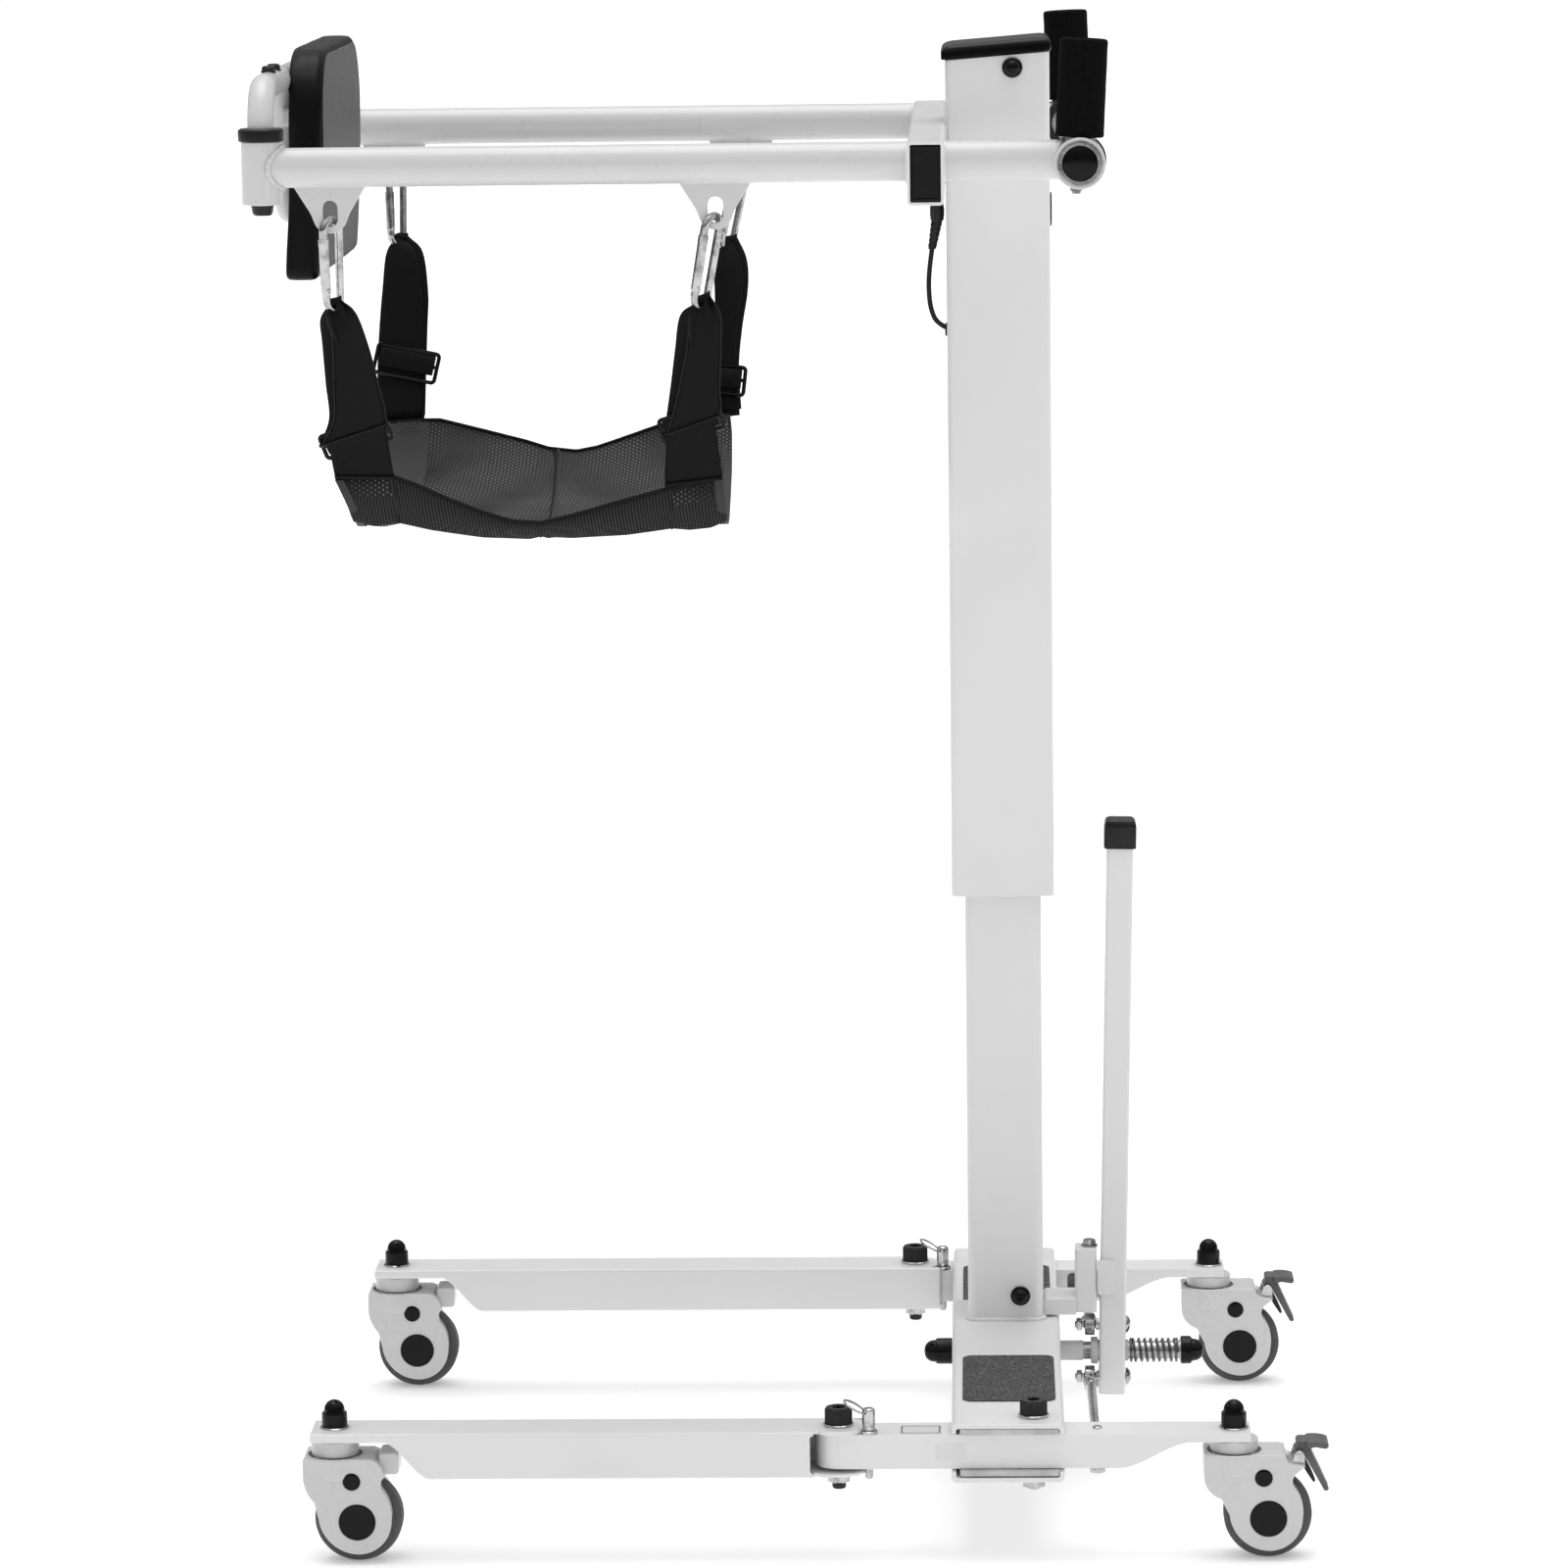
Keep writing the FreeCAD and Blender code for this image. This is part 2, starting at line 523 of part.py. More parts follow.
def caster(name, x, s, trail, brake):
    """Housing with its wheel slot, and the wheel: tyre and core on one axle."""
    y = f"{s} * leg_offset"
    hub_x = f"{x} + {trail}"
    trail_mm = dim(trail)
    shell = profile("XZ_Plane", housing_outline(trail_mm, brake), "housing_wide", x=hub_x, y=y, z="wheel_radius")
    # a round boss covers the swivel bearing; the stem turns in its floor
    boss = rod("z", ("wheel_radius + 37", "wheel_radius + 55"), (x, y), 25.5)
    slot = rod("y", (f"{y} - wheel_wide / 2 - 1.5", f"{y} + wheel_wide / 2 + 1.5"), (hub_x, "wheel_radius"),
               "wheel_radius + 3")
    bearing = rod("z", ("wheel_radius + 48", "wheel_radius + 60"), (x, y), 21)
    stem_bore = rod("z", ("wheel_radius + 20", "wheel_radius + 50"), (x, y), 5.95)
    cuts = [slot, bearing, stem_bore]
    additions = [rod("y", (f"{y} - 22.5", f"{y} + 22.5"), (hub_x, "wheel_radius"), 6)]
    if brake:
        cuts.append(box((f"{hub_x} + 21.5", f"{hub_x} + 40"), (f"{y} - 12.6", f"{y} + 12.6"),
                        ("wheel_radius + 32", "wheel_radius + 60")))
        lug = outline([(19, 44), (31, 44), (31, 53), ((26.5, 57), (22, 53))])
        for side in (-1, 1):
            additions.append(profile("XZ_Plane", lug, 2.4, x=hub_x, y=f"{y} + {side} * 14", z="wheel_radius"))
        additions.append(rod("y", (f"{y} - 14", f"{y} + 14"), (f"{hub_x} + 26.5", "wheel_radius + 52.5"), 2))
    node(f"{name}_housing", fuse(cut(fuse(shell, boss), *cuts), *additions))
    span = (f"{y} - wheel_wide / 2", f"{y} + wheel_wide / 2")
    tyre = ring("y", span, (hub_x, "wheel_radius"), "wheel_radius", "wheel_radius - 7")
    round_edge = doc.addObject("Part::Fillet", "tread")
    round_edge.Base = tyre
    doc.recompute()
    rims = [i for i, e in enumerate(tyre.Shape.Edges, start=1)
            if len(e.Vertexes) == 1 and abs(e.Length - 2 * math.pi * dim("wheel_radius")) < 1]
    round_edge.Edges = [(i, 5.0, 5.0) for i in rims]
    core = fuse(rod("y", span, (hub_x, "wheel_radius"), "wheel_radius - 7"),
                rod("y", (f"{y} - wheel_wide / 2 - 1", f"{y} + wheel_wide / 2 + 1"), (hub_x, "wheel_radius"), 9.3))
    axle_bore = rod("y", (f"{y} - 15", f"{y} + 15"), (hub_x, "wheel_radius"), 6.05)
    node(f"{name}_wheel", group(round_edge, cut(core, axle_bore)))


def brake(name, x, s):
    """Two-ended brake pedal with its shoe, turning on a pin at the top rear of a rear housing."""
    y = f"{s} * leg_offset"
    hub_x = f"{x} + rear_trail"
    at = dict(x=hub_x, y=y, z="wheel_radius")
    arm = outline([(24, 53), (24, 61), (27, 64.5), (35, 64.5), (35, 57.5), (30, 53)])
    upper = outline([(32.5, 58), (32.5, 64.5), ((42, 64.9), (49, 63.6)), ((51.4, 61.5), (48, 58.2)), (40, 59.5)])
    lower = outline([(29, 55), (33, 58), (36, 57), (51.6, 22), (48, 20.5), (32, 50)])
    shoe = outline([(25, 50), (30, 51), (36.5, 38), (40.6, 28.5), (38.6, 27.5), (33, 36)])
    pivot = (f"{hub_x} + 26.5", "wheel_radius + 52.5")
    pedal = fuse(profile("XZ_Plane", arm, 22, **at), profile("XZ_Plane", upper, 30, **at),
                 profile("XZ_Plane", lower, 22, **at), profile("XZ_Plane", shoe, 16, **at),
                 rod("y", (f"{y} - 12", f"{y} + 12"), pivot, 4.5))
    node(f"{name}_brake", cut(pedal, rod("y", (f"{y} - 13", f"{y} + 13"), pivot, 2.05)))


# ---------------------------------------------------------------- leg spreading

def lever_parts():
    """Lever on the shaft, its bush, spring, gate and the two tie rods."""
    at = (0, "shaft_z")
    front = beam_x(-1)
    rear = beam_x(1)
    shaft = rod("x", (f"{front} - 16", 345), at, 8)
    spacer = ring("x", (f"{rear} + 0.1", "lever_x - 19.5"), at, 10.5, 8)
    collar = rod("x", (333.2, 339), at, 10)
    node("lever_shaft", fuse(shaft, spacer, collar))
    caps = []
    for start, end, tip in ((front, f"{front} - 18", f"{front} - 16.5"), (339.1, 345, 345)):
        low, high = (end, f"{start} - 0.1") if tip != 345 else (start, end)
        shell = fuse(rod("x", (low, high), at, 11.4), ball(tip, 0, "shaft_z", 9.8))
        keep = box((f"{front} - 30", f"{front} - 0.1"), (-20, 20), ("shaft_z - 20", "shaft_z + 20")) \
            if tip != 345 else box((339.1, 360), (-20, 20), ("shaft_z - 20", "shaft_z + 20"))
        whole = doc.addObject("Part::MultiCommon", "cap")
        whole.Shapes = [shell, keep]
        caps.append(cut(whole, rod("x", (f"{front} - 16.1", 345.1), at, 8)))
    node("shaft_caps", group(*caps))

    flange = rod("x", ("lever_x - 19", "lever_x - 13"), at, 12)
    sleeve = rod("x", ("lever_x - 19", "lever_x + 14.5"), at, 9.6)
    node("lever_bush", cut(fuse(flange, sleeve), rod("x", ("lever_x - 30", "lever_x + 30"), at, 8.08)))

    turns, radius, wire = 8.5, 9.6, 1.05
    start, end = dim("lever_x") + 15, 332.6
    helix = Part.makeHelix((end - start - 2 * wire) / turns, end - start - 2 * wire, radius)
    circle = Part.Wire(Part.Circle(Vector(radius, 0, 0), Vector(0, 1, 0), wire).toShape())
    coil = Part.Wire(helix.Edges).makePipeShell([circle], True, True)
    coil.Placement = Placement(Vector(start + wire, 0, dim("shaft_z")), AXIS_TURN["x"])
    node("lever_spring", solid(coil, "spring"))

    # gate: arm from the inner tube and an upright block in front of the lever
    arm = box(("column_x + inner_side / 2 + 0.1", "lever_x - 32"), (-21, 21), (141.5, 157))
    block = box(("lever_x - 33", "lever_x - 13.5"), (-13, 13), (141.5, 200))
    screw = rod("z", (200.1, 205), ("lever_x - 20", 0), 6)
    node("lever_gate", group(fuse(arm, block), screw))

    def lever_box(across, low, high):
        obj = doc.addObject("Part::Box", "bar")
        bind(obj, "Length", across)
        bind(obj, "Width", across)
        bind(obj, "Height", f"({high}) - ({low})")
        lean = math.radians(dim("lever_lean"))
        obj.Placement = Placement(Vector(), Rotation(Vector(0, 1, 0), dim("lever_lean")))
        place(obj, f"lever_x - ({across}) / 2 + (({low}) - shaft_z) * {math.tan(lean):.5f}", f"-({across}) / 2", low)
        return obj
    outside = lever_box("lever_side", "lever_bottom", "lever_top")
    inside = lever_box("lever_side - 4", "lever_bottom + 58", "lever_top + 1")
    bore = rod("x", ("lever_x - 30", "lever_x + 30"), at, 9.7)
    catch = box(("lever_x - 11", "lever_x + 4"), ("-lever_side / 2 - 3", "-lever_side / 2 + 0.5"), (158, 189.5))
    rod_holes = [rod("x", ("lever_x - 30", "lever_x + 30"), (0, f"shaft_z + {s} * rod_drop"), 2.95) for s in (-1, 1)]
    node("lever_tube", cut(fuse(outside, catch), inside, bore, *rod_holes))
    node("lever_cap", lever_box("lever_side + 5", "lever_top + 0.1", "lever_top + 26"))

    bolts = []
    for side, s in SIDES:
        z = f"shaft_z + {s} * rod_drop"
        bolt_at = (0, z)
        bolts.append(fuse(
            rod("x", ("rod_x - 13", "lever_x + 12.4"), bolt_at, 2.9),
            rod("x", ("lever_x + 12.3", "lever_x + 16"), bolt_at, 7),
            rod("x", ("rod_x - 12", "rod_x - 7"), bolt_at, 6)))
        # the ball turns on its bolt, and the tie rod's eye swings a little about the ball
        node(f"rod_ball_{side}", cut(ball("rod_x", 0, z, 6.2),
                                     rod("x", ("rod_x - 10", "rod_x + 10"), bolt_at, 2.95)))
    node("rod_bolts", group(*bolts))
    for side, s in SIDES:
        tie_rod(side, s)


def tie_rod(side, s):
    """Rod with an eye at each end: round the lever's ball, and round the stud in the leg."""
    start = Vector(dim("rod_x"), 0, dim("shaft_z") + s * dim("rod_drop"))
    end = Vector(dim("stud_x"), s * dim("leg_offset"), dim("stud_z"))
    along = (end - start).normalize()
    lever_eye = Part.makeCylinder(10, 9, start - Vector(4.5, 0, 0), Vector(1, 0, 0))
    leg_eye = Part.makeCylinder(9.5, 8, end - Vector(0, 0, 4), Vector(0, 0, 1))
    bar = Part.makeCylinder(4.5, (end - start).Length - 14, start + along * 7, along)
    socket = Part.makeCylinder(6.5, 26, start + along * 7, along)
    eyes = lever_eye.fuse([bar, socket, leg_eye])
    ball_seat = Part.makeSphere(6.35, start)
    through = Part.makeCylinder(5.5, 20, start - Vector(10, 0, 0), Vector(1, 0, 0))
    stud_bore = Part.makeCylinder(5.7, 20, end - Vector(0, 0, 10), Vector(0, 0, 1))
    node(f"tie_rod_{side}", solid(eyes.cut([ball_seat, through, stud_bore]), "tie_rod"))


# ---------------------------------------------------------------- mast

def arms():
    plugs = []
    for side, s in SIDES:
        y = f"{s} * arm_half"
        at = (y, "arm_z")
        bar = rod("x", ("sleeve_x + 5", "handle_x - 2"), at, "arm_radius")
        sleeve = rod("z", ("arm_z - 30", "arm_z + 22"), ("sleeve_x", y), "arm_radius + 0.3")
        handle = rod("y", (f"{y} - 24", f"{y} + 24"), ("handle_x", "arm_z - 2"), "handle_radius")
        neck = rod("z", ("arm_z", "arm_z + 95"), ("handle_x", y), 12)
        bore = rod("x", ("sleeve_x + 20", "handle_x - 22"), at, "arm_radius - 2")
        handle_bore = rod("y", (f"{y} - 25", f"{y} + 25"), ("handle_x", "arm_z - 2"), "handle_radius - 3")
        if s < 0:
            sleeve_cut = [rod("z", ("arm_z - 40", "arm_z + 30"), ("sleeve_x", y), "post_radius + 0.08")]
        else:
            # open cradle: the far post of the pad frame swings out of it
            sleeve_cut = [rod("z", ("arm_z - 40", "arm_z + 30"), ("sleeve_x", y), "post_radius + 0.6"),
                          box(("sleeve_x - 30", "sleeve_x"), (f"{y} - post_radius - 0.6", f"{y} + post_radius + 0.6"),
                              ("arm_z - 40", "arm_z + 30"))]
        # the right side is also relieved where the post sweeps inwards on its arc
        node(f"{side}_arm", cut(fuse(bar, sleeve, handle, neck), bore, handle_bore, *sleeve_cut))
        for end in (-1, 1):
            mouth = f"{y} + {end} * 24"
            inward = (f"{mouth} - 4", mouth) if end > 0 else (mouth, f"{mouth} + 4")
            plugs.append(rod("y", inward, ("handle_x", "arm_z - 2"), "handle_radius - 3.1"))
        plugs.append(rod("z", ("arm_z - 26", "arm_z - 22.2"), ("handle_x - 3", f"{y}"), 4))
    plugs.append(ring("z", ("arm_z + 22.1", "arm_z + 33"), ("sleeve_x", "-arm_half"), 19, "post_radius + 0.1"))
    return plugs


def cross_tube():
    """Rectangular tube on the column's front face; the arms pass through its ends."""
    x_span = ("cross_x - cross_wide / 2", "cross_x + cross_wide / 2 - 0.1")
    outside = box(x_span, ("-cross_half", "cross_half"), ("cross_bottom", "cross_top"))
    inside = box(("cross_x - cross_wide / 2 + 3", "cross_x + cross_wide / 2 - 3.1"),
                 ("-cross_half - 1", "cross_half + 1"), ("cross_bottom + 3", "cross_top - 3"))
    passages = [rod("x", ("cross_x - 30", "cross_x + 30"), (f"{s} * arm_half", "arm_z"), "arm_radius + 0.05")
                for s in (-1, 1)]
    node("cross_tube", cut(outside, inside, *passages))
    plugs = []
    for s in (-1, 1):
        low, high = ("-cross_half - 2", "-cross_half + 5") if s < 0 else ("cross_half - 5", "cross_half + 2")
        insert = box(("cross_x - cross_wide / 2 + 3.1", "cross_x + cross_wide / 2 - 3.2"), (low, high),
                     ("cross_bottom + 3.1", "cross_top - 3.1"))
        plugs.append(cut(insert, rod("x", ("cross_x - 30", "cross_x + 30"), (f"{s} * arm_half", "arm_z"),
                                     "arm_radius + 0.1")))
    return plugs


def hanger(x, y):
    """Trapezoidal plate with a rounded tip and a slot for a carabiner."""
    points = [(-30, 0), (30, 0), (17.5, -20), ((15.2, -24.5), (13.6, -29)), ((0, -39), (-13.6, -29)),
              ((-15.2, -24.5), (-17.5, -20))]
    plate = profile("XZ_Plane", outline(points), "hanger_thick", x=x, y=y, z="arm_z - arm_radius + 1")
    slot = profile("XZ_Plane", outline([(-6.3, -27), ((0, -33.3), (6.3, -27)), (6.3, -18), ((0, -11.7), (-6.3, -18))]),
                   20, x=x, y=y, z="arm_z - arm_radius + 1")
    return cut(plate, slot, rod("x", (f"{x} - 40", f"{x} + 40"), (y, "arm_z"), "arm_radius + 0.05"))


def mast_details(column_cap):
    node("tube_plugs", group(*(arms() + cross_tube() + [column_cap])))
    node("hanger_brackets", group(*[hanger(x, f"{s} * arm_half") for x in ("front_hanger_x", "rear_hanger_x")
                                    for s in (-1, 1)]))
    grips = []
    for s in (-1, 1):
        at = ("handle_x", f"{s} * arm_half")
        grips.append(cut(rod("z", ("arm_z + 18.5", "arm_z + 99"), at, "handle_radius"),
                         rod("z", ("arm_z + 10", "arm_z + 95.1"), at, 12.1)))
    node("handle_grips", group(*grips))


CABLE_POINTS = [(120.5, 1094), (118.0, 1077), (117.2, 1059), (118.8, 1042), (124.6, 1028.5), (136, 1024)]
CABLE_RADIUS = 2.2


def cable():
    """Short lead from the connector under the cross tube into the column, with both ends on the object."""
    y = -25
    points = [Vector(x, y, z) for x, z in CABLE_POINTS]
    radii = []
    for before, corner, after in zip(points, points[1:], points[2:]):
        turn = (corner - before).getAngle(after - corner)
        run = min((corner - before).Length, (after - corner).Length)
        radii.append(0.45 * run / math.tan(turn / 2))
    print("cable radii, mm:", [round(r, 1) for r in radii])
    wire = filleted_path(points, radii)
    body = pipe(wire, CABLE_RADIUS)
    section = math.pi * CABLE_RADIUS ** 2 * wire.Length
    print(f"cable length {wire.Length:.1f} mm, volume ratio {body.Volume / section:.4f}")
    node("cable", solid(body, "cable"))
    start, toward = points[0], (points[1] - points[0]).normalize()
    connector = Part.makeCylinder(6.5, 30, Vector(points[0].x, y, dim("cross_bottom") - 30.1), Vector(0, 0, 1))
    flange = Part.makeCylinder(8, 6, Vector(points[0].x, y, dim("cross_bottom") - 6.1), Vector(0, 0, 1))
    relief = Part.makeCone(2.9, 5.5, 26, Vector(points[0].x, y, points[0].z + 0.5), Vector(0, 0, 1))
    wall = dim("column_x") - dim("outer_side") / 2
    grommet = Part.makeCylinder(6, 5.3, Vector(wall - 1.5, y, 1024), Vector(1, 0, 0))
    grommet = grommet.cut(pipe(wire, CABLE_RADIUS))
    node("cable_fittings", group(solid(connector.fuse([flange, relief]), "connector"), solid(grommet, "grommet")))


# ---------------------------------------------------------------- back pad gate

def pad_gate():
    """Arched tube that turns in the left sleeve and rests in the right cradle, with its lower loop and pad."""
    x, half = dim("sleeve_x"), dim("arm_half")
    top, low, bottom = dim("gate_top"), dim("gate_low"), dim("arm_z") - 38
    arch = filleted_path([Vector(x, -half, bottom), Vector(x, -half, top), Vector(x, half, top),
                          Vector(x, half, bottom)], [34, 34])
    loop_half = 120
    loop = filleted_path([Vector(x, -loop_half, top), Vector(x, -loop_half, low), Vector(x, loop_half, low),
                          Vector(x, loop_half, top)], [26, 26])
    radius = dim("post_radius")
    frame = pipe(arch, radius).fuse(pipe(loop, 8))
    tabs = [Part.makeBox(8.4, 36, 16, Vector(x + 0.5, s * loop_half - 18, z)) for s in (-1, 1)
            for z in (top - 40, low + 26)]
    frame = frame.fuse(tabs).cut([pipe(arch, radius - 1.8), pipe(loop, 6.4)])
    node("gate_frame", solid(frame, "gate_frame"))
    fittings = []
    for s in (-1, 1):
        plug = Part.makeCylinder(radius - 1.9, 17, Vector(x, s * half, bottom - 8)).fuse(
            Part.makeCylinder(10.5, 8, Vector(x, s * half, bottom - 8.1)))
        fittings.append(solid(plug, "plug"))
        for offset in (30, 70):
            nut = Part.makeCylinder(5.5, 5, Vector(x, s * (half - 38 - offset), top + radius + 0.1))
            fittings.append(solid(nut, "nut"))
    node("gate_fittings", group(*fittings))

    def rounded(half_y, low_z, high_z, r):
        k = r * (1 - math.sqrt(0.5))
        return outline([
            (half_y, low_z + r), (half_y, high_z - r), ((half_y - k, high_z - k), (half_y - r, high_z)),
            (-half_y + r, high_z), ((-half_y + k, high_z - k), (-half_y, high_z - r)), (-half_y, low_z + r),
            ((-half_y + k, low_z + k), (-half_y + r, low_z)), (half_y - r, low_z),
            ((half_y - k, low_z + k), (half_y, low_z + r))])
    low_z, high_z, corner = dim("pad_bottom"), dim("pad_top"), dim("pad_corner")
    board = profile("YZ_Plane", rounded(dim("pad_half") - 8, low_z + 8, dim("gate_top") - radius - 2, corner - 8), 4,
                    x="pad_back - 2.1")
    node("pad_board", board)
    node("back_pad", profile("YZ_Plane", rounded(dim("pad_half"), low_z, high_z, corner), "pad_thick",
                             x="pad_back + pad_thick / 2"))


# ---------------------------------------------------------------- sling

def sling():
    front, rear, half, low = dim("seat_front"), dim("seat_rear"), dim("seat_half"), dim("seat_low")
    mid = (front + rear) / 2
    seat = profile("XZ_Plane", outline([
        (front + 10, low + 22), ((mid, low), (rear - 10, low + 22)), (rear, low + 62),
        ((mid, low + 14), (front, low + 62))]), "2 * seat_half")
    node("sling_seat", seat)

    straps, buckles, hooks = [], [], []
    hang_z = dim("arm_z") - dim("arm_radius")
    for hanger_x, seat_x in (("front_hanger_x", front + 29), ("rear_hanger_x", rear - 29)):
        for s in (-1, 1):
            y_top, y_low = s * (dim("arm_half") - 3), s * (half + 4)
            x_top = dim(hanger_x)
            upper = Part.Wire(Part.makePolygon([Vector(x_top - 11, y_top - 3, 1060), Vector(x_top + 11, y_top - 3, 1060),
                                                Vector(x_top + 11, y_top + 3, 1060), Vector(x_top - 11, y_top + 3, 1060),
                                                Vector(x_top - 11, y_top - 3, 1060)]))
            lower_pts = [Vector(seat_x - 25, y_low - 2, low + 45), Vector(seat_x + 25, y_low - 2, low + 45),
                         Vector(seat_x + 25, y_low + 2, low + 45), Vector(seat_x - 25, y_low + 2, low + 45)]
            lower = Part.Wire(Part.makePolygon(lower_pts + [lower_pts[0]]))
            strap = Part.makeLoft([lower, upper], True, True)
            straps.append(solid(strap, "strap"))
            # tri-glide buckle on the outer face of the strap
            share = 0.35
            bx, by = seat_x + (x_top - seat_x) * share, y_low + (y_top - y_low) * share
            bz = low + 45 + (1060 - low - 45) * share
            plate = Part.makeBox(60, 3.5, 30, Vector(-30, s * 5.2 - 1.75, -15))
            plate = plate.cut([Part.makeBox(50, 20, 8, Vector(-25, s * 5.2 - 10, dz)) for dz in (-11, 3)])
            slope = math.degrees(math.atan2(y_top - y_low, 1060 - low - 45))
            plate.Placement = Placement(Vector(bx, by, bz), Rotation(Vector(1, 0, 0), -slope))
            buckles.append(solid(plate, "buckle"))
            hooks.append(solid(carabiner(x_top, s * dim("arm_half"), hang_z - 31), "carabiner"))
    node("sling_straps", group(*straps))
    node("strap_buckles", group(*buckles))
    node("carabiners", group(*hooks))


def carabiner(x, y, top):
    """Pear-shaped spring hook hung through a hanger slot, in a plane across the hanger plate."""
    radius, upper, lower, tall = 3.6, 9.5, 11.5, 74
    peak = Vector(x, y, top + 4.2)
    a, b = peak - Vector(0, 0, upper), peak - Vector(0, 0, tall - lower)
    arcs = [
        Part.Arc(a + Vector(0, -upper, 0), peak, a + Vector(0, upper, 0)).toShape(),
        Part.LineSegment(a + Vector(0, upper, 0), b + Vector(0, lower, 0)).toShape(),
        Part.Arc(b + Vector(0, lower, 0), b - Vector(0, 0, lower), b + Vector(0, -lower, 0)).toShape(),
        Part.LineSegment(b + Vector(0, -lower, 0), a + Vector(0, -upper, 0)).toShape(),
    ]
    return pipe(Part.Wire(arcs), radius)


# ---------------------------------------------------------------- build

base_crossbeam()
grip_pads()
cap = column()
actuator()
leg_bearings()
for side_name, side_sign in SIDES:
    hinge = f"{side_name}_hinge_x"
    front_leg(side_name, side_sign, hinge)
    rear_leg(side_name, side_sign, hinge)
    caster(f"front_{side_name}", "front_caster_x", side_sign, "front_trail", False)
    caster(f"rear_{side_name}", "rear_caster_x", side_sign, "rear_trail", True)
    brake(f"rear_{side_name}", "rear_caster_x", side_sign)
lever_parts()
mast_details(cap)
cable()
pad_gate()
sling()
doc.recompute()

faults = [o.Name for o in doc.Objects if any(word in o.State for word in ("Invalid", "Error"))]
for label, obj in NODES.items():
    if obj.Shape.isNull() or not obj.Shape.isValid() or not obj.Shape.Solids:
        faults.append(label)
if faults:
    raise SystemExit("not written, faulty: " + ", ".join(faults))

os.makedirs("parts", exist_ok=True)
for label, obj in NODES.items():
    obj.Shape.exportStep(f"parts/{label}.step")
whole = Part.makeCompound([o.Shape for o in NODES.values()]).BoundBox
print(len(NODES), "nodes; box", [round(v, 1) for v in (whole.XMin, whole.XMax, whole.YMin, whole.YMax,
                                                         whole.ZMin, whole.ZMax)])
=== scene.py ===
"""Sit to stand lift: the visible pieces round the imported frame. Shapes are written in millimetres."""
from math import atan2, copysign, cos, degrees, exp, pi, radians, sin, sqrt, tan

import bmesh
import bpy
import numpy as np
from mathutils import Matrix, Vector


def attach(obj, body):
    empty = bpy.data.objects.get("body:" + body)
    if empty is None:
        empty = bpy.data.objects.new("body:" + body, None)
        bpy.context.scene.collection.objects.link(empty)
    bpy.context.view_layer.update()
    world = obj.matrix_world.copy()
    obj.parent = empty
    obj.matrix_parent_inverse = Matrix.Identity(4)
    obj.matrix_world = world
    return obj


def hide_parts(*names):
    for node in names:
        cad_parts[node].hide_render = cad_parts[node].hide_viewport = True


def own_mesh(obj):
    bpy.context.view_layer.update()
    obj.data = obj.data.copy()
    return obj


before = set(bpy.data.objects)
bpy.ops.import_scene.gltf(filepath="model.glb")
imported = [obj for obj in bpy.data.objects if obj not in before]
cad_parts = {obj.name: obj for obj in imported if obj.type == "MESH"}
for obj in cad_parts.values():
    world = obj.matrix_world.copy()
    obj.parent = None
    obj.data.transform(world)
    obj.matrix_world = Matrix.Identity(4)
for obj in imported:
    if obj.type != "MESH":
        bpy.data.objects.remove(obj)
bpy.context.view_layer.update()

scene = bpy.context.scene
MM = 0.001
SIDES = (("left", -1), ("right", 1))
ENDS = ("front", "rear")
DISTANCE = {"left": "near", "right": "far"}

# ---------------------------------------------------------------- places, millimetres

COLUMN_X = 178
INNER_HALF, OUTER_HALF, COLUMN_WALL = 33.5, 45, 4
INNER_SPAN, OUTER_SPAN = (140, 900), (526, 1261)
LOW_BOLT_Z, COVER_Z, MAST_BOLT_Z = 163, 1126, 1251
SLOPE_ABOVE, TOP_SLOPE = 1200, 0.075
BEAM = ((130, 226), 322, (71, 122))
LEG_Y = 295
ARM_Y, ARM_Z, ARM_R = 295, 1187, 16.5
SLEEVE_X, HANDLE_X = -431, 247
HINGE_X = {"left": 34, "right": 94}
PIVOT_X, STUD_X = 200, 254
SWIVEL_X = {"front": -396, "rear": 370}
TRAIL = {"front": 19.5, "rear": 28.4}
LEG_TOP = {"front": 115, "rear": 111.5}
HUB_Z = 37.5
SHAFT_Z, LEVER_X = 104, 273
HANGER_X = {"front": -375, "rear": -56}
BOLT_X = 191
PAD_HALF, PAD_LOW, PAD_TOP = 170, 1083, 1278.5
ARCH_Z, LOOP_Z, LOOP_Y = 1252, 1138, 125
SEAM_X = -215.6         # where the seat's middle seam crosses the lift's own middle


# ---------------------------------------------------------------- mesh helpers

def mesh_object(name, points, faces):
    """A new object from points in millimetres, its faces turned outwards."""
    mesh = bpy.data.meshes.new(name)
    mesh.from_pydata([Vector(p) * MM for p in points], [], faces)
    work = bmesh.new()
    work.from_mesh(mesh)
    bmesh.ops.recalc_face_normals(work, faces=work.faces)
    work.to_mesh(mesh)
    work.free()
    obj = bpy.data.objects.new(name, mesh)
    scene.collection.objects.link(obj)
    return obj


def bake(obj):
    """Apply an object's modifiers to its mesh."""
    graph = bpy.context.evaluated_depsgraph_get()
    mesh = bpy.data.meshes.new_from_object(obj.evaluated_get(graph))
    obj.modifiers.clear()
    obj.data = mesh
    return obj


def spread(axis, across, along):
    """A 3D point from two coordinates across an axis, in X, Y, Z order, and one along it."""
    point = list(across)
    point.insert("xyz".index(axis), along)
    return Vector(point)


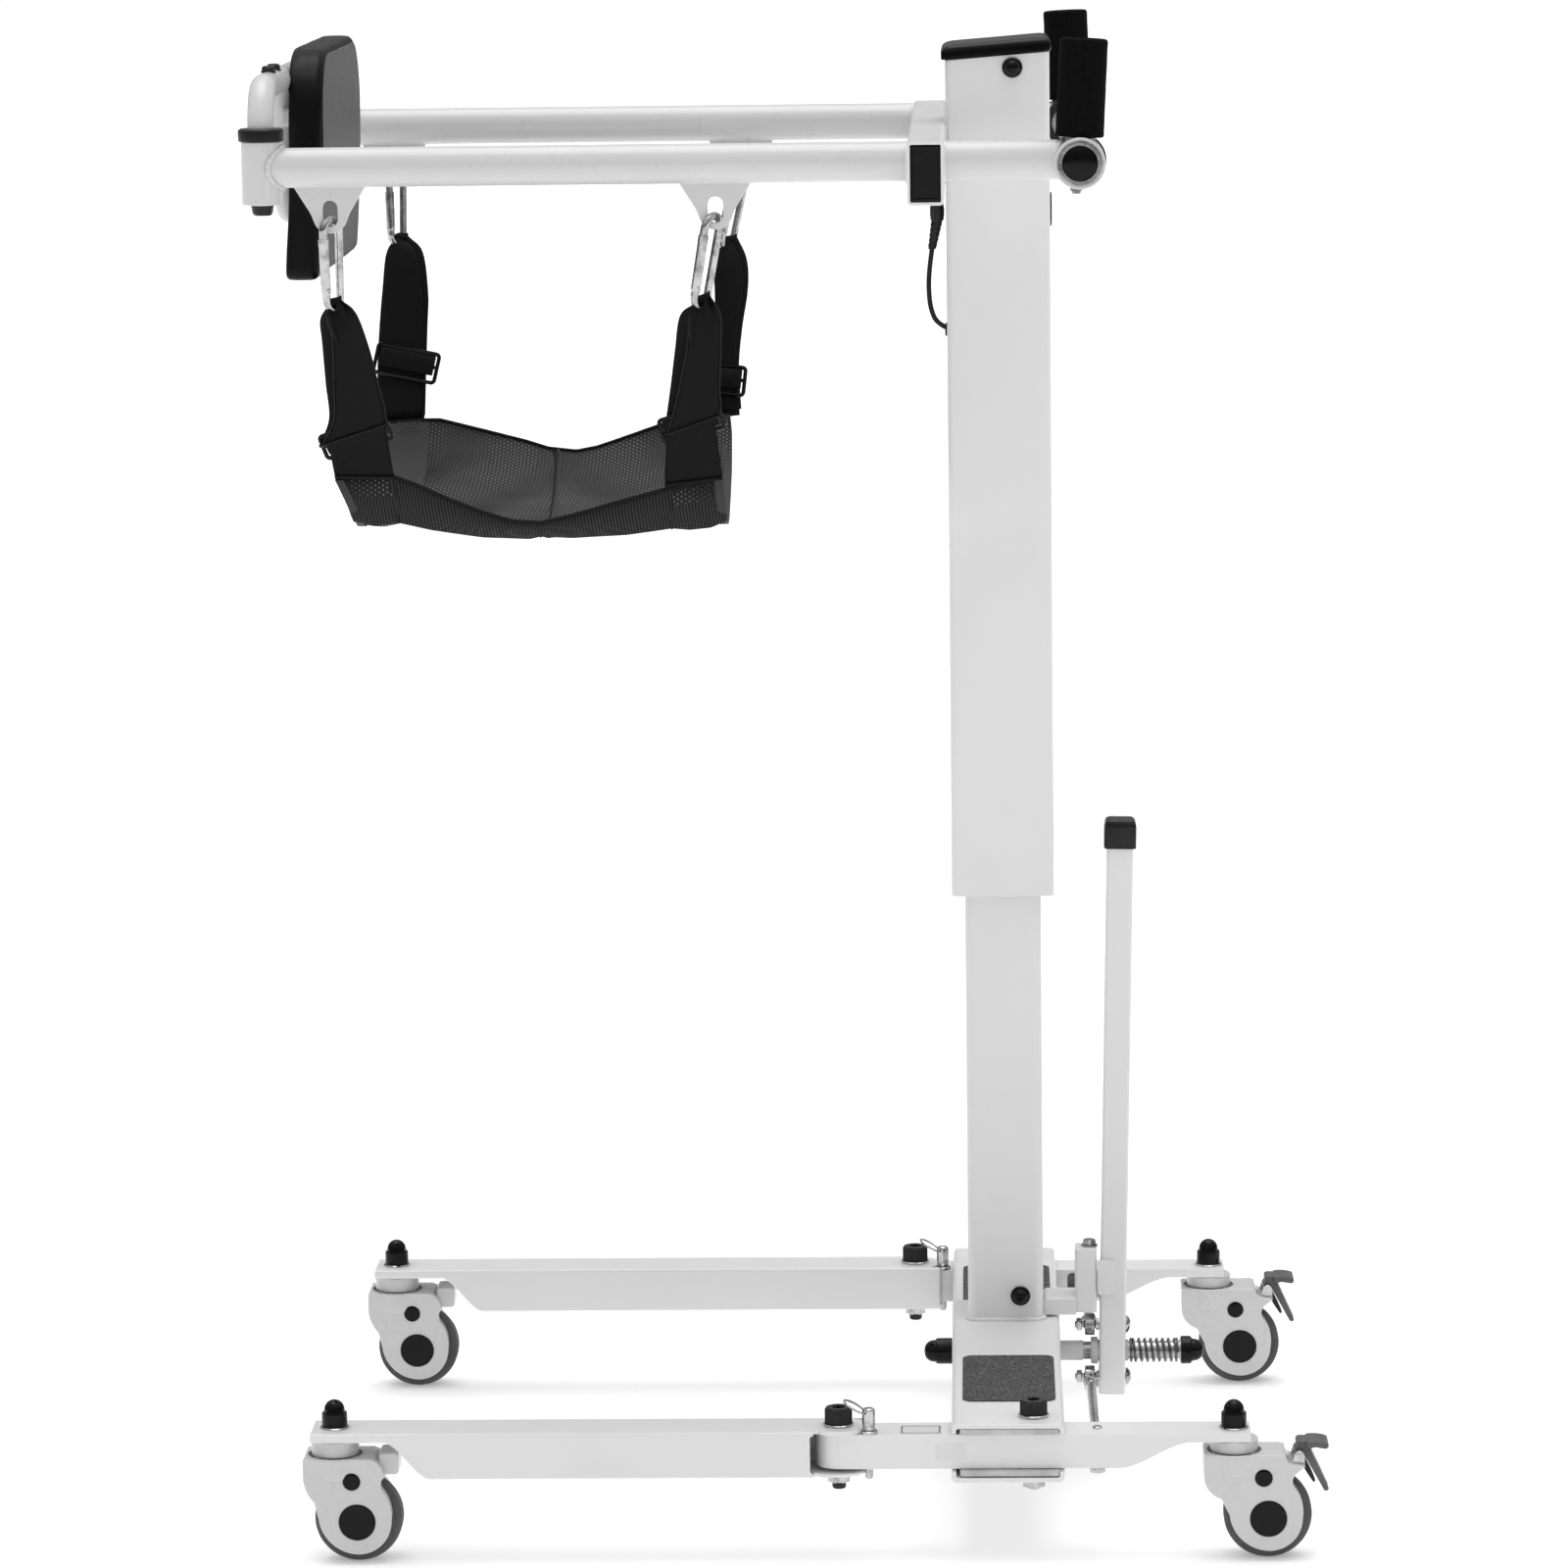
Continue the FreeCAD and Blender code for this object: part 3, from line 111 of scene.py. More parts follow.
def rounded(corners, radius, steps=5, closed=True):
    """Points of a path with its corners rounded; radius is one number or one per corner."""
    corners = [Vector(c) for c in corners]
    count = len(corners)
    radii = radius if hasattr(radius, "__len__") else [radius] * count
    points = []
    for i, (corner, r) in enumerate(zip(corners, radii)):
        if r <= 0 or (not closed and i in (0, count - 1)):
            points.append(corner)
            continue
        back = (corners[i - 1] - corner).normalized()
        ahead = (corners[(i + 1) % count] - corner).normalized()
        half = back.angle(ahead) / 2
        centre = corner + (back + ahead).normalized() * (r / sin(half))
        start = corner + back * (r / tan(half)) - centre
        end = corner + ahead * (r / tan(half)) - centre
        sweep = start.angle(end)
        for k in range(steps + 1):
            a, b = sin((1 - k / steps) * sweep), sin(k / steps * sweep)
            points.append(centre + (start * a + end * b) / sin(sweep))
    return points


def smooth_line(points, per_span=8):
    """A Catmull-Rom line through the points, which are tuples of any length."""
    p = np.array(points, float)
    p = np.vstack([2 * p[0] - p[1], p, 2 * p[-1] - p[-2]])
    line = []
    for i in range(1, len(p) - 2):
        for k in range(per_span):
            t = k / per_span
            line.append(0.5 * (2 * p[i] + (p[i + 1] - p[i - 1]) * t
                               + (2 * p[i - 1] - 5 * p[i] + 4 * p[i + 1] - p[i + 2]) * t ** 2
                               + (3 * p[i] - p[i - 1] - 3 * p[i + 1] + p[i + 2]) * t ** 3))
    line.append(p[-2])
    return [tuple(q) for q in line]


def prism(name, loop, low, high, axis="z"):
    """A closed outline pushed along an axis."""
    n = len(loop)
    points = [spread(axis, p, h) for h in (low, high) for p in loop]
    faces = [list(range(n)), list(range(n, 2 * n))]
    faces += [[i, (i + 1) % n, n + (i + 1) % n, n + i] for i in range(n)]
    return mesh_object(name, points, faces)


def pipe_prism(name, outer, inner, low, high, axis="z"):
    """A hollow section pushed along an axis; both outlines have the same number of points."""
    n = len(outer)
    points = [spread(axis, p, h) for h in (low, high) for loop in (outer, inner) for p in loop]
    faces = []
    for i in range(n):
        j = (i + 1) % n
        faces += [[i, j, 2 * n + j, 2 * n + i], [n + i, 3 * n + i, 3 * n + j, n + j],
                  [i, n + i, n + j, j], [2 * n + i, 2 * n + j, 3 * n + j, 3 * n + i]]
    return mesh_object(name, points, faces)


def rectangle(x_span, y_span, radius=0, steps=4):
    """A rectangle's outline, rounded if a radius is given."""
    (a, b), (c, d) = x_span, y_span
    return rounded([(a, c), (b, c), (b, d), (a, d)], radius, steps)


def block(name, x_span, y_span, z_span, radius=0, axis="z"):
    """A box whose edges along one axis may be rounded."""
    spans = [x_span, y_span, z_span]
    low, high = spans.pop("xyz".index(axis))
    return prism(name, rectangle(*spans, radius), low, high, axis)


def section_radius(shape, radius, angle, index):
    """Radius of a round, hexagonal or knurled section at an angle."""
    if shape == "hex":
        return radius / cos((angle + pi / 6) % (pi / 3) - pi / 6)
    if shape == "knurl":
        return radius - 0.45 * (index % 2)
    return radius


def lathe(name, profile, axis="z", at=(0, 0), steps=48, closed=False, base=0, way=1):
    """A turned form. profile holds (along, radius) or (along, radius, shape); radius 0 is a pole.

    The distances along the axis are counted from base, forward or backward as way is 1 or -1.
    """
    rings, points = [], []
    for distance, radius, *shape in profile:
        along = base + way * distance
        kind = shape[0] if shape else "round"
        if radius == 0:
            rings.append([len(points)])
            points.append(spread(axis, at, along))
            continue
        rings.append(list(range(len(points), len(points) + steps)))
        for i in range(steps):
            angle = 2 * pi * i / steps
            r = section_radius(kind, radius, angle, i)
            points.append(spread(axis, (at[0] + r * cos(angle), at[1] + r * sin(angle)), along))
    faces = []
    pairs = list(zip(rings, rings[1:] + rings[:1])) if closed else list(zip(rings, rings[1:]))
    for a, b in pairs:
        for i in range(steps):
            j = (i + 1) % steps
            if len(a) == 1 and len(b) == 1:
                continue
            if len(a) == 1:
                faces.append([a[0], b[i], b[j]])
            elif len(b) == 1:
                faces.append([a[i], a[j], b[0]])
            else:
                faces.append([a[i], a[j], b[j], b[i]])
    if not closed:
        faces += [ring for ring in (rings[0], rings[-1]) if len(ring) > 1]
    return mesh_object(name, points, faces)


def cylinder(name, low, high, radius, axis="z", at=(0, 0), steps=48):
    """A plain round bar, or the drill for a plain hole."""
    return lathe(name, [(low, 0), (low, radius), (high, radius), (high, 0)], axis, at, steps)


def loft(name, rings, closed=False):
    """A skin through rings of points with the same count each, capped at both ends unless closed."""
    n = len(rings[0])
    faces = []
    last = len(rings) if closed else len(rings) - 1
    for a in range(last):
        b = (a + 1) % len(rings)
        faces += [[a * n + i, a * n + (i + 1) % n, b * n + (i + 1) % n, b * n + i] for i in range(n)]
    if not closed:
        faces += [list(range(n)), list(range((len(rings) - 1) * n, len(rings) * n))]
    return mesh_object(name, [p for ring in rings for p in ring], faces)


def drawn_in(name, x_span, y_span, levels, steps):
    """A round-cornered block built up in levels of (height, inset, corner radius)."""
    (a, b), (c, d) = x_span, y_span
    rings = [[(x, y, z) for x, y in rectangle((a + i, b - i), (c + i, d - i), r, steps)] for z, i,
             r in levels]
    return loft(name, rings)


def frames_along(path, closed=False):
    """Two directions across the path at each point, turning as little as possible."""
    path = [Vector(p) for p in path]
    n = len(path)
    tangents = []
    for i in range(n):
        before = path[i - 1] if i or closed else path[i]
        after = path[(i + 1) % n] if i < n - 1 or closed else path[i]
        tangents.append((after - before).normalized())
    side = tangents[0].orthogonal().normalized()
    frames = []
    for t in tangents:
        side = (side - t * side.dot(t)).normalized()
        frames.append((side, t.cross(side)))
    return path, frames


def bar(name, path, radius, steps=16, closed=False):
    """A round bar along a path; radius is one number or one per point."""
    path, frames = frames_along(path, closed)
    radii = radius if hasattr(radius, "__len__") else [radius] * len(path)
    rings = [[p + (u * cos(2 * pi * k / steps) + v * sin(2 * pi * k / steps)) * r
              for k in range(steps)] for p, (u, v), r in zip(path, frames, radii)]
    return loft(name, rings, closed)


def combine(obj, operation, *tools):
    """Union or difference with other objects, which are used up."""
    for tool in tools:
        step = obj.modifiers.new("combine", "BOOLEAN")
        step.operation, step.solver, step.object = operation, "EXACT", tool
        bake(obj)
        bpy.data.objects.remove(tool)
    work = bmesh.new()
    work.from_mesh(obj.data)
    bmesh.ops.remove_doubles(work, verts=work.verts, dist=0.00001)
    bmesh.ops.dissolve_limit(work, angle_limit=0.004, verts=work.verts, edges=work.edges)
    work.to_mesh(obj.data)
    work.free()
    return obj


def carve(obj, *tools):
    """Cut the tools out of an object."""
    return combine(obj, "DIFFERENCE", *tools)


def fuse(obj, *others):
    """Add others to an object."""
    return combine(obj, "UNION", *others)


def soften(obj, width=0.5, segments=2, angle=32):
    """Round every edge that is sharper than the angle."""
    step = obj.modifiers.new("soften", "BEVEL")
    step.width, step.segments, step.angle_limit = width * MM, segments, radians(angle)
    step.limit_method = "ANGLE"
    step.use_clamp_overlap = True
    return bake(obj)


def turn(obj, angles, pivot):
    """Turn a mesh by Euler angles in degrees about a point."""
    centre = Vector(pivot) * MM
    spin = Matrix.Rotation(radians(angles[2]), 4, "Z") @ Matrix.Rotation(radians(angles[1]), 4, "Y") \
        @ Matrix.Rotation(radians(angles[0]), 4, "X")
    obj.data.transform(Matrix.Translation(centre) @ spin @ Matrix.Translation(-centre))
    return obj


def paint(obj, look):
    """Give the whole mesh one material."""
    obj.data.materials.clear()
    obj.data.materials.append(look)
    return obj


def painted(look, *parts):
    """Several meshes in one material."""
    return [paint(part, look) for part in parts]


def join(name, *parts):
    """One object from several, each with its own material."""
    parts = list(parts)
    with bpy.context.temp_override(active_object=parts[0], selected_editable_objects=parts,
                                   selected_objects=parts):
        bpy.ops.object.join()
    parts[0].name = name
    return parts[0]


def dress(obj, body, stands_for=(), smooth=32):
    """Smooth shading with crisp edges, then the piece's body and the nodes it stands for."""
    obj.data.shade_smooth()
    obj.data.set_sharp_from_angle(angle=radians(smooth))
    step = obj.modifiers.new("normals", "WEIGHTED_NORMAL")
    step.keep_sharp = True
    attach(obj, body)
    if stands_for:
        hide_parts(*stands_for)
    return obj


# ---------------------------------------------------------------- materials

def set_ramp(ramp, stops):
    """Grey stops of a colour ramp, as (place, level)."""
    while len(ramp.elements) < len(stops):
        ramp.elements.new(0.5)
    for mark, (at, level) in zip(ramp.elements, stops):
        mark.position = at
        mark.color = (level, level, level, 1.0)


class Look:
    """A Principled material with textures in the frame's own coordinates, in metres."""

    def __init__(self, name, **values):
        self.material = bpy.data.materials.new(name)
        self.material.use_nodes = True
        self.tree = self.material.node_tree
        self.shader = self.tree.nodes["Principled BSDF"]
        self.place = self.add("TexCoord").outputs["Object"]
        for key, value in values.items():
            self.shader.inputs[key.replace("_", " ")].default_value = value

    def add(self, kind, inputs=None, **settings):
        item = self.tree.nodes.new("ShaderNode" + kind)
        for key, value in settings.items():
            setattr(item, key, value)
        for key, value in (inputs or {}).items():
            if isinstance(value, bpy.types.NodeSocket):
                self.tree.links.new(value, item.inputs[key])
            else:
                item.inputs[key].default_value = value
        return item

    def noise(self, scale, detail=2.0, rough=0.5, stretch=None):
        place = self.place
        if stretch:
            place = self.add("Mapping", {"Vector": place, "Scale": stretch}).outputs["Vector"]
        return self.add("TexNoise", {"Vector": place, "Scale": scale, "Detail": detail,
                                     "Roughness": rough}).outputs["Fac"]

    def maths(self, operation, first, second=0.0):
        return self.add("Math", {0: first, 1: second}, operation=operation).outputs[0]

    def stripes(self, direction, pitch):
        """0 to 1 ridges across a direction, one each pitch millimetres."""
        along = self.add("VectorMath", {0: self.place, 1: direction},
                         operation="DOT_PRODUCT").outputs["Value"]
        wave = self.maths("SINE", self.maths("MULTIPLY", along, 2 * pi / (pitch * MM)))
        return self.maths("MULTIPLY", self.maths("ADD", wave, 1.0), 0.5)

    def ramp(self, value, *stops):
        """Grey levels at places from 0 to 1."""
        item = self.add("ValToRGB", {"Fac": value})
        set_ramp(item.color_ramp, stops)
        return item.outputs["Color"]

    def link(self, socket, target):
        self.tree.links.new(socket, self.shader.inputs[target])
        return self

    def bump(self, height, depth, strength=1.0):
        """Surface relief; depth is in millimetres. Calls add up."""
        inputs = {"Height": height, "Distance": depth * MM, "Strength": strength}
        if self.shader.inputs["Normal"].links:
            inputs["Normal"] = self.shader.inputs["Normal"].links[0].from_socket
        self.link(self.add("Bump", inputs).outputs["Normal"], "Normal")
        return self


def white_coat(name, level, gloss, peel, peel_depth):
    """White powder coat or moulded plastic: faint mottling, uneven gloss and an orange peel skin."""
    look = Look(name, Roughness=gloss, Coat_Weight=0.25, Coat_Roughness=0.12)
    look.link(look.ramp(look.noise(9, 4), (0.30, level * 0.965), (0.70, level)), "Base Color")
    look.link(look.ramp(look.noise(60, 3), (0.3, gloss * 0.85), (0.7, gloss * 1.2)), "Roughness")
    look.bump(look.noise(peel, 3, 0.55), peel_depth, 0.6)
    return look.material


def moulded(name, level, gloss, grain, depth, shine=0.5):
    """Dark moulded plastic or rubber with a fine grain and slightly uneven gloss."""
    look = Look(name, Roughness=gloss, Specular_IOR_Level=shine)
    look.link(look.ramp(look.noise(45, 4), (0.3, level * 0.8), (0.75, level * 1.3)), "Base Color")
    look.link(look.ramp(look.noise(120, 3), (0.3, gloss * 0.8), (0.7, min(1.0, gloss * 1.25))), "Roughness")
    look.bump(look.noise(grain, 3, 0.6), depth, 0.7)
    return look.material


def metal(name, level, gloss, streak=(1, 1, 1)):
    """Plated or bare steel with fine drawing marks and dull patches."""
    look = Look(name, Metallic=1.0, Roughness=gloss)
    look.link(look.ramp(look.noise(85, 4, 0.65), (0.32, level * 0.42), (0.56, level)), "Base Color")
    look.link(look.ramp(look.noise(240, 3, 0.6, streak), (0.3, gloss * 0.6), (0.75, gloss * 1.5)),
              "Roughness")
    look.bump(look.noise(500, 2, 0.5, streak), 0.02, 0.5)
    return look.material


def foam_grip():
    """Closed-cell foam: matt with a fine pitted skin."""
    look = Look("foam_grip_black", Roughness=0.82, Specular_IOR_Level=0.05)
    look.link(look.ramp(look.noise(350, 4, 0.7), (0.3, 0.002), (0.7, 0.006)), "Base Color")
    look.bump(look.noise(900, 4, 0.7), 0.12, 0.8)
    return look.material


def anti_slip():
    """Mineral anti-slip film: pale and dark grains standing out of a dark coat."""
    look = Look("anti_slip_grit", Roughness=0.75)
    grain = look.noise(620, 5, 0.75)
    look.link(look.ramp(grain, (0.38, 0.012), (0.52, 0.038), (0.66, 0.19)), "Base Color")
    look.link(look.ramp(grain, (0.4, 0.85), (0.6, 0.45)), "Roughness")
    look.bump(grain, 0.5, 0.9)
    return look.material


def webbing():
    """Black polyester webbing: a fine diagonal weave with a slight sheen."""
    look = Look("webbing_black", Roughness=0.6, Specular_IOR_Level=0.14)
    warp = look.stripes((0.55, 0.2, 1.0), 1.7)
    weft = look.stripes((1.0, 0.3, -0.45), 1.25)
    weave = look.maths("MULTIPLY", warp, weft)
    look.link(look.ramp(weave, (0.1, 0.0015), (0.8, 0.008)), "Base Color")
    look.bump(weave, 0.16, 0.8)
    look.bump(look.noise(90, 3), 0.3, 0.25)
    return look.material


def ribbed_cloth():
    """Outer cloth of the sling: narrow ribs across its length, dark between them."""
    look = Look("sling_ribbed_cloth", Roughness=0.7, Specular_IOR_Level=0.2)
    rib = look.stripes((1.0, 0.0, 0.12), 2.7)
    cross = look.stripes((0.0, 0.9, 0.9), 1.3)
    both = look.maths("ADD", look.maths("MULTIPLY", rib, 0.75), look.maths("MULTIPLY", cross, 0.25))
    look.link(look.ramp(both, (0.25, 0.004), (0.60, 0.018), (0.95, 0.05)), "Base Color")
    look.bump(both, 0.55, 0.9)
    look.bump(look.noise(55, 3), 0.8, 0.3)
    return look.material


def mesh_cloth():
    """Inner cloth of the sling: an open honeycomb knit, its cells drawn long across the seat's bottom, with
    painted light and shade of its folds.
    """
    look = Look("sling_honeycomb_mesh", Roughness=0.55, Specular_IOR_Level=0.3)
    wobble = look.add("TexNoise", {"Vector": look.place, "Scale": 26.0, "Detail": 2.0}).outputs["Color"]
    drift = look.add("VectorMath", {0: wobble, 3: 0.0016}, operation="SCALE").outputs[0]
    shifted = look.add("VectorMath", {0: look.place, 1: drift}, operation="ADD").outputs[0]
    turns = 2 * pi / (3.3 * MM)
    waves = []
    for angle in (0, 60, 120):
        a = radians(angle)
        direction = (turns * cos(a), turns * sin(a) * 0.27, turns * sin(a) * 0.95)
        along = look.add("VectorMath", {0: shifted, 1: direction}, operation="DOT_PRODUCT").outputs["Value"]
        waves.append(look.maths("COSINE", along))
    cells = look.maths("ADD", look.maths("ADD", waves[0], waves[1]), waves[2])
    cells = look.maths("MULTIPLY", look.maths("ADD", cells, 1.5), 1 / 4.5)
    # painted light and shade of the folds, which run slantwise from the middle seam: the knit is painted
    # lighter along their crests, over a random mottle
    split = look.add("SeparateXYZ", {0: shifted}).outputs
    reach = look.maths("ABSOLUTE", look.maths("ADD", split[0], -SEAM_X * MM))
    fold = look.maths("SINE", look.maths("ADD", look.maths("MULTIPLY", reach, 62.0),
                                         look.maths("MULTIPLY", split[1], 21.0)))
    painted_fold_light = look.maths("ADD", look.maths("MULTIPLY", fold, 0.22),
                       look.maths("ADD", look.noise(13, 3), 0.42))
    light = look.maths("MULTIPLY", cells, painted_fold_light)
    look.link(look.ramp(light, (0.18, 0.001), (0.50, 0.006), (0.90, 0.12)), "Base Color")
    look.bump(cells, 0.5, 0.9)
    return look.material


def plain_cloth(name, level, pitch, depth):
    """Plain woven cloth."""
    look = Look(name, Roughness=0.75, Specular_IOR_Level=0.2)
    weave = look.maths("MULTIPLY", look.stripes((1.0, 0.25, 0.3), pitch),
                       look.stripes((0.2, 1.0, 1.0), pitch))
    look.link(look.ramp(weave, (0.1, level * 0.5), (0.8, level * 1.3)), "Base Color")
    look.bump(weave, depth, 0.8)
    look.bump(look.noise(80, 3), 0.5, 0.25)
    return look.material


def pad_cloth():
    """Face cloth of the back pad: grey with a fine irregular leather-like grain."""
    look = Look("pad_face_grey", Roughness=0.62, Sheen_Weight=0.08, Sheen_Roughness=0.5)
    grain = look.noise(430, 5, 0.7)
    look.link(look.ramp(grain, (0.32, 0.014), (0.5, 0.032), (0.68, 0.075)), "Base Color")
    look.bump(grain, 0.16, 0.8)
    look.bump(look.noise(35, 3), 0.8, 0.2)
    return look.material


WHITE = white_coat("white_powder_coat", 0.80, 0.34, 620, 0.05)
# the white powder coat again, painted darker to stand in for the shade on the arms, the hangers and the
# gate frame
SHADED_WHITE = white_coat("white_coat_painted_shade", 0.66, 0.30, 620, 0.04)
SHELL = white_coat("white_caster_shell", 0.63, 0.28, 260, 0.03)
NECK = white_coat("caster_neck_paint", 0.60, 0.30, 500, 0.03)
LABEL = white_coat("label_film_white", 0.74, 0.22, 900, 0.01)
LINE = moulded("label_line_grey", 0.10, 0.4, 600, 0.01)
BLACK = moulded("black_plastic_satin", 0.006, 0.30, 700, 0.03, 0.3)
GLOSS = moulded("black_plastic_gloss", 0.002, 0.14, 300, 0.012, 0.18)
BOLT = moulded("black_oxide_steel", 0.009, 0.40, 500, 0.04, 0.35)
FOAM = foam_grip()
GRIT = anti_slip()
CHROME = metal("bright_zinc_plate", 0.52, 0.15)
STEEL = metal("machined_steel_grey", 0.45, 0.30, (1, 8, 8))
WIRE = metal("spring_wire_steel", 0.14, 0.26)
PEDAL = moulded("pedal_plastic_grey", 0.10, 0.42, 420, 0.05, 0.35)
TYRE = moulded("tyre_rubber_grey", 0.085, 0.62, 520, 0.08, 0.3)
CORE = moulded("wheel_core_grey", 0.32, 0.5, 300, 0.03)
STRAP = webbing()
RIBBED = ribbed_cloth()
MESH = mesh_cloth()
PATCH = plain_cloth("sling_patch_grey", 0.07, 0.9, 0.1)
PIPING = plain_cloth("sling_piping_black", 0.008, 1.1, 0.15)
THREAD = plain_cloth("stitch_thread", 0.03, 0.6, 0.1)
PAD_FACE = pad_cloth()
PAD_SIDE = moulded("pad_side_vinyl_black", 0.002, 0.34, 380, 0.06, 0.12)
NYLON = moulded("nylon_bearing_grey", 0.50, 0.45, 400, 0.03)
BOARD = moulded("pad_board_black", 0.02, 0.6, 160, 0.1)
CABLE = moulded("cable_rubber_black", 0.008, 0.48, 600, 0.04, 0.3)


# ---------------------------------------------------------------- camera and cable

def make_camera():
    """Stands off the lift's left side, a little higher than its top, and looks slightly down across it."""
    data = bpy.data.cameras.new("camera")
    data.lens, data.sensor_width = 145.03, 36
    data.clip_start, data.clip_end = 0.1, 60
    camera = bpy.data.objects.new("camera", data)
    scene.collection.objects.link(camera)
    yaw, pitch, roll = (radians(a) for a in (-1.809, 9.182, -0.730))
    level = Vector((sin(yaw), cos(yaw), 0))
    right = Vector((cos(yaw), -sin(yaw), 0))
    up = Vector((0, 0, 1))
    ahead = level * cos(pitch) - up * sin(pitch)
    down = -(level * sin(pitch) + up * cos(pitch))
    across = right * cos(roll) - down * sin(roll)
    over = -(right * sin(roll) + down * cos(roll))
    camera.matrix_world = Matrix.Translation((0.1594, -5.5154, 1.5123)) \
        @ Matrix((across, over, -ahead)).transposed().to_4x4()
    scene.camera = camera


CABLE_Y = -25
CABLE_POINTS = [(120.5, 1094), (118.0, 1077), (117.2, 1059), (118.8, 1042), (124.6, 1028.5), (136, 1024)]
CABLE_DIAMETER = 4.4


def cable():
    """Actuator lead: from its connector under the cross tube into the column's front face."""
    data = bpy.data.curves.new("actuator_lead", "CURVE")
    data.dimensions = "3D"
    data.bevel_depth, data.bevel_resolution, data.resolution_u = CABLE_DIAMETER / 2 * MM, 5, 10
    spline = data.splines.new("NURBS")
    spline.points.add(len(CABLE_POINTS) - 1)
    for point, (x, z) in zip(spline.points, CABLE_POINTS):
        point.co = (x * MM, CABLE_Y * MM, z * MM, 1)
    spline.order_u = 3
    spline.use_endpoint_u = True
    data.materials.append(CABLE)
    lead = bpy.data.objects.new("actuator_lead", data)
    scene.collection.objects.link(lead)
    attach(lead, "mast")
    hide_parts("cable")

    x, z = CABLE_POINTS[0]
    at = (x, CABLE_Y)
    connector = lathe("lead_connector", [
        (1150, 0), (1150, 6.3), (1135, 6.3), (1134.4, 5.8), (1131, 5.8), (1130.4, 6.3), (1122.8, 6.3),
        (1122.2, 6.0), (1119.4, 5.8), (1118.6, 5.2), (1118.6, 0)], "z", (x + 4.6, CABLE_Y), 40)
    latch = block("lead_latch", (x + 1.4, x + 7.8), (CABLE_Y - 8.6, CABLE_Y - 3), (1121, 1134), 1.2)
    connector = join("lead_connector", connector, soften(latch, 0.6, 2, 60))
    relief_sections = [(z, 0), (z, 3.1), (z + 0.8, 3.5)]
    for k in range(5):
        low = z + 2 + k * 4.4
        r = 3.5 + 0.28 * k
        relief_sections += [(low, r), (low + 0.7, r + 0.3), (low + 2.6, r + 0.4), (low + 3.2, r + 0.05)]
    relief_sections += [(1119, 5.0), (1119, 0)]
    relief = lathe("lead_strain_relief", relief_sections, "z", at, 32)
    for vertex in relief.data.vertices:
        vertex.co.x += 0.18 * (vertex.co.z - z * MM)
    grommet = lathe("lead_grommet", [(131.2, 2.3), (131.2, 4.6), (131.8, 5.7), (132.8, 6.1), (133.2, 6.1),
                                     (133.2, 5.2), (136.6, 5.2), (136.6, 2.3)], "x", (CABLE_Y, 1024), 32,
                    closed=True)
    for piece, look, nodes in ((connector, BLACK, ("cable_fittings",)), (relief, CABLE, ()),
                               (grommet, BLACK, ())):
        dress(paint(piece, look), "mast", nodes)


# ---------------------------------------------------------------- small parts used in many places

def hex_nut(name, z_low, z_high, flats, at, axis="z"):
    """Plain nut, chamfered at both ends."""
    return lathe(name, [(z_low, 0), (z_low, flats * 0.92), (z_low + 0.9, flats, "hex"),
                        (z_high - 0.9, flats, "hex"), (z_high, flats * 0.92), (z_high, 0)], axis, at, 48)


def socket_screw(name, z_low, z_high, radius, at):
    """Knurled cap head with a hexagonal socket."""
    return lathe(name, [(z_low, 0), (z_low, radius - 0.6), (z_low + 0.5, radius, "knurl"),
                        (z_high - 1.6, radius, "knurl"), (z_high - 1.3, radius - 0.5),
                        (z_high - 0.2, radius - 1.1), (z_high, radius - 1.7), (z_high, 5.6),
                        (z_high - 0.7, 4.9, "hex"), (z_high - 6.5, 4.9, "hex"),
                        (z_high - 7.2, 0)], "z", at, 96)


def dome_cap(name, start, outward, at, axis="z", flange=10.9, dome=8.9, tall=13):
    """Plastic nut cap: a skirt, a shoulder and a dome; outward is 1 or -1 along the axis."""
    lines = [(0, 0), (0, flange - 0.3), (0.6, flange), (tall - 1.2, flange), (tall - 0.3, flange - 0.5),
             (tall, flange - 1.6), (tall + 0.4, dome + 0.2), (tall + 1.6, dome)]
    height = 23 - tall if axis == "z" else dome * 0.8
    lines += [(tall + 1.6 + (height - 1.6) * sin(t), dome * cos(t))
              for t in np.radians([15, 30, 45, 60, 75])]
    lines += [(tall + height, 0)]
    return lathe(name, lines, axis, at, base=start, way=outward)


def washer(name, z_low, z_high, radius, at, axis="z", bore=6):
    """Flat ring, its edges eased."""
    return lathe(name, [(z_low, bore), (z_low, radius - 0.3), (z_low + 0.3, radius), (z_high - 0.4, radius),
                        (z_high, radius - 0.5), (z_high, bore)], axis, at, 48, closed=True)


def weld_bead(name, path, radius, closed=False):
    """A bead of weld with the ripples that a weld has."""
    swell = [radius * (1 + 0.10 * sin(i * 1.9) + 0.05 * sin(i * 0.73)) for i in range(len(path))]
    return bar(name, path, swell, 10, closed)


def bolt_cap(name, z, half, x=BOLT_X):
    """Two black caps and their pale washers on a cross bolt, with the bolt's shank between."""
    parts = [paint(cylinder("shank", -half, half, 4.9, "y", (x, z), 32), CHROME)]
    for s in (-1, 1):
        face = s * half
        ring = lathe("seat", [(0, 5), (0, 9.2), (0.5, 9.4), (0.9, 9.0), (0.9, 5)], "y", (x, z), closed=True,
                     base=face, way=s)
        cap = lathe("cap", [(0.9, 0), (0.9, 8.2), (1.5, 8.6), (2.8, 8.6), (3.4, 8.1), (3.6, 7.2),
                            (4.0, 6.6), (5.6, 6.3), (7.2, 5.6), (8.4, 4.2), (9.0, 2.2),
                            (9.1, 0)], "y", (x, z),
                    base=face, way=s)
        parts += [paint(ring, NYLON), paint(cap, GLOSS)]
    return join(name, *parts)


# ---------------------------------------------------------------- base

